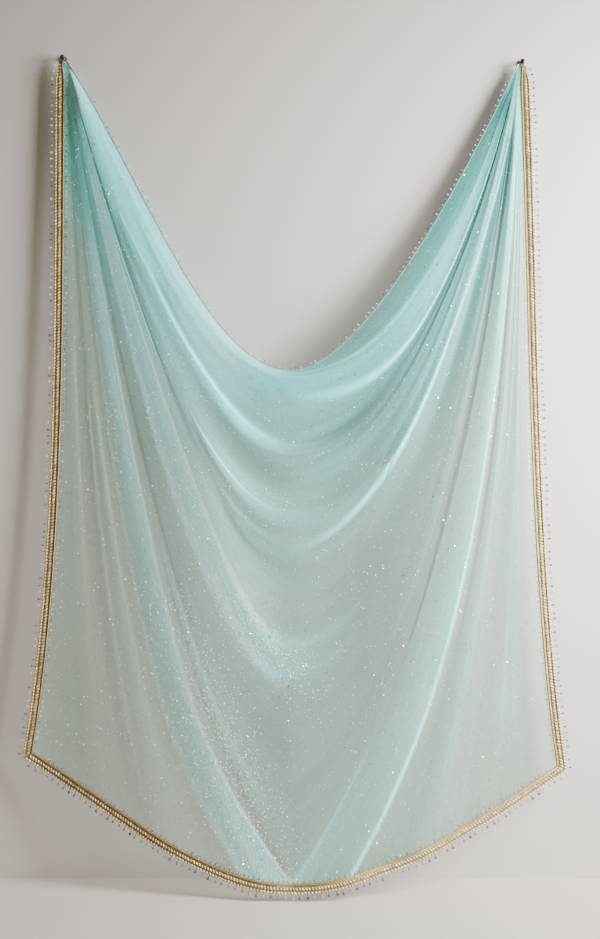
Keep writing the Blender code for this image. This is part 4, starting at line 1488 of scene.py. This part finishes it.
# How thickly they lie everywhere, on pale pleats, along a slanting line and in a patch.
FLAKES_EVERYWHERE = 0.40
FLAKES_ON_PLEATS = 1.2
FLAKES_ON_LINE = 4.0
FLAKES_IN_PATCH = 6.0
PLEAT_PALE_FROM = 0.55
LINE_X, LINE_Z, LINE_SLANT, LINE_WIDE = 0.29, -1.26, 0.34, 0.06
LINE_STARTS, LINE_OPENS = 1.05, 0.35
PATCH_X, PATCH_Z, PATCH_LONG, PATCH_WIDE = 0.44, -1.22, 0.12, 0.035
PATCH_COS, PATCH_SIN = 0.73, 0.69
# How dull they are at the right of DULL_X, a painted shade, and close to the top edge.
PAINTED_SHADE_RIGHT = 0.30
DULL_X, DULL_OVER = 0.60, 0.20
DULL_EDGE = 0.35
DULL_BELOW_EDGE = 0.05
# The shades where dull flakes turn to pearl, pearl to silver, and silver starts to glow as a painted glint.
PEARL_FROM = (0.02, 0.10)
SILVER_FROM = (0.18, 0.24)
GLINT_GLOW_FROM = (0.80, 0.84)
GLINT_GLOW = 1.3
DULL_COLOUR = (0.10, 0.20, 0.20)
PEARL_COLOUR = (0.97, 1.0, 1.0)
GLINT_GLOW_COLOUR = (0.95, 1.0, 1.0)


def flake_weights(places, shades):
    """How thickly the glitter lies at each place on the cloth."""
    x, z = places[:, 0], places[:, 2]
    on_pleats = FLAKES_ON_PLEATS * np.clip(shades - PLEAT_PALE_FROM, 0, 1)
    on_line = bell(x - LINE_X + LINE_SLANT * (z - LINE_Z), LINE_WIDE)
    on_line *= smooth_step((-z - LINE_STARTS) / LINE_OPENS)
    along = PATCH_COS * (x - PATCH_X) - PATCH_SIN * (z - PATCH_Z)
    across = PATCH_SIN * (x - PATCH_X) + PATCH_COS * (z - PATCH_Z)
    in_patch = np.exp(-((along / PATCH_LONG) ** 2) - ((across / PATCH_WIDE) ** 2))
    return FLAKES_EVERYWHERE + on_pleats + FLAKES_ON_LINE * on_line + FLAKES_IN_PATCH * in_patch


def scatter_flakes(cloth):
    """Flakes at random places of the cloth's triangles, as one mesh."""
    mesh = cloth.data
    mesh.calc_loop_triangles()
    corners = numbers_of(mesh.loop_triangles, "vertices", np.int32, 3)
    points = numbers_of(mesh.vertices, "co", np.float32, 3)
    shades = numbers_of(mesh.attributes["shade"].data, "value", np.float32)
    a, b, c = (points[corners[:, k]] for k in range(3))
    square = np.cross(b - a, c - a)
    area = np.linalg.norm(square, axis=-1)
    normals = square / np.maximum(area, 1e-12)[:, None]
    normals *= -np.sign(normals[:, 1:2])
    chance = area * flake_weights(a, shades[corners[:, 0]])
    chosen = scatter.choice(len(corners), FLAKES, p=chance / chance.sum())
    s, t = scatter.random((2, FLAKES, 1))
    over = s + t > 1
    s, t = np.where(over, 1 - s, s), np.where(over, 1 - t, t)
    centre = a[chosen] + (b - a)[chosen] * s + (c - a)[chosen] * t + normals[chosen] * FLAKE_LIFT
    tipped = unit(normals[chosen] + scatter.normal(0, FLAKE_TIP, (FLAKES, 3)))
    first = unit(np.cross(tipped, scatter.normal(0, 1, (FLAKES, 3))))
    large = scatter.random((FLAKES, 1, 1)) ** FLAKE_RARITY
    radius = FLAKE_RADIUS * (FLAKE_LEAST + FLAKE_VARIES * large)
    verts = ring_points(centre, first, np.cross(tipped, first), around(FLAKE_SIDES), radius)
    faces = np.arange(FLAKES * FLAKE_SIDES).reshape(-1, FLAKE_SIDES).tolist()
    flakes = new_piece("glitter", verts.reshape(-1, 3), faces, glitter_material(), smooth=False)
    below_top = np.interp(centre[:, 0], top.outer[:, 0], top.outer[:, 2]) - centre[:, 2]
    # Flakes at the right are painted duller, a painted shade; those close to the top edge are duller too.
    dull = PAINTED_SHADE_RIGHT * smooth_step((centre[:, 0] - DULL_X) / DULL_OVER)
    dull += DULL_EDGE * smooth_step(2 - below_top / DULL_BELOW_EDGE)
    brightness = scatter.random(FLAKES) - np.minimum(dull, DULL_EDGE)
    add_numbers(flakes, "shade", np.repeat(brightness, FLAKE_SIDES))
    return flakes


def glitter_material():
    """Some flakes are white pearl, some are silver and catch the light, and the brightest glow, a painted
    glint. A few are dull.
    """
    pearl = Recipe("glitter", Roughness=0.2, Emission_Strength=GLINT_GLOW)
    shade = pearl.attribute("shade")
    pearl.paint(
        Base_Color=pearl.mix(pearl.between(shade, *PEARL_FROM), DULL_COLOUR, PEARL_COLOUR),
        Metallic=pearl.between(shade, *SILVER_FROM, 0.95, 0.05),
        # Painted glint: the brightest flakes glow as if they reflected the window.
        Emission_Color=pearl.mix(pearl.between(shade, *GLINT_GLOW_FROM), (0, 0, 0), GLINT_GLOW_COLOUR),
    )
    return pearl.material


flakes = finish_trim(scatter_flakes(cloth), "net")
print("glitter faces:", len(flakes.data.polygons))

# %% [markdown]
# ## Hooks and loops
#
# The two wall hooks and the gold corner loops keep their solids, which have the right shape.
# They only get better finishes: dark bronze with small worn patches, and gold thread.

# %% Finishes of the solids
BRONZE_DARK = (0.035, 0.026, 0.020)
BRONZE_WORN = (0.24, 0.17, 0.11)


def bronze_material():
    bronze = Recipe("dark bronze", Metallic=0.9)
    worn = bronze.noise(bronze.here(), 420.0, 4.0)
    bronze.paint(
        Base_Color=bronze.mix(bronze.between(worn, 0.55, 0.75), BRONZE_DARK, BRONZE_WORN),
        Roughness=0.22 + 0.3 * worn,
        Normal=bronze.bump(worn, 0.15, 0.0004),
    )
    return bronze.material


bronze = bronze_material()
for side in SIDES:
    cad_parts[f"hook_{side.name}"].data.materials[0] = bronze
    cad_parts[f"loop_{side.name}"].data.materials[0] = golds["cord"]
for helper in (grain_shape, picot):
    bpy.data.objects.remove(helper, do_unlink=True)
print("hooks and loops are finished")

# %% Sizes
size = {"cad": [list(corner) for corner in cad_box], "visual": [list(corner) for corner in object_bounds()]}
print("visual box:", size["visual"])
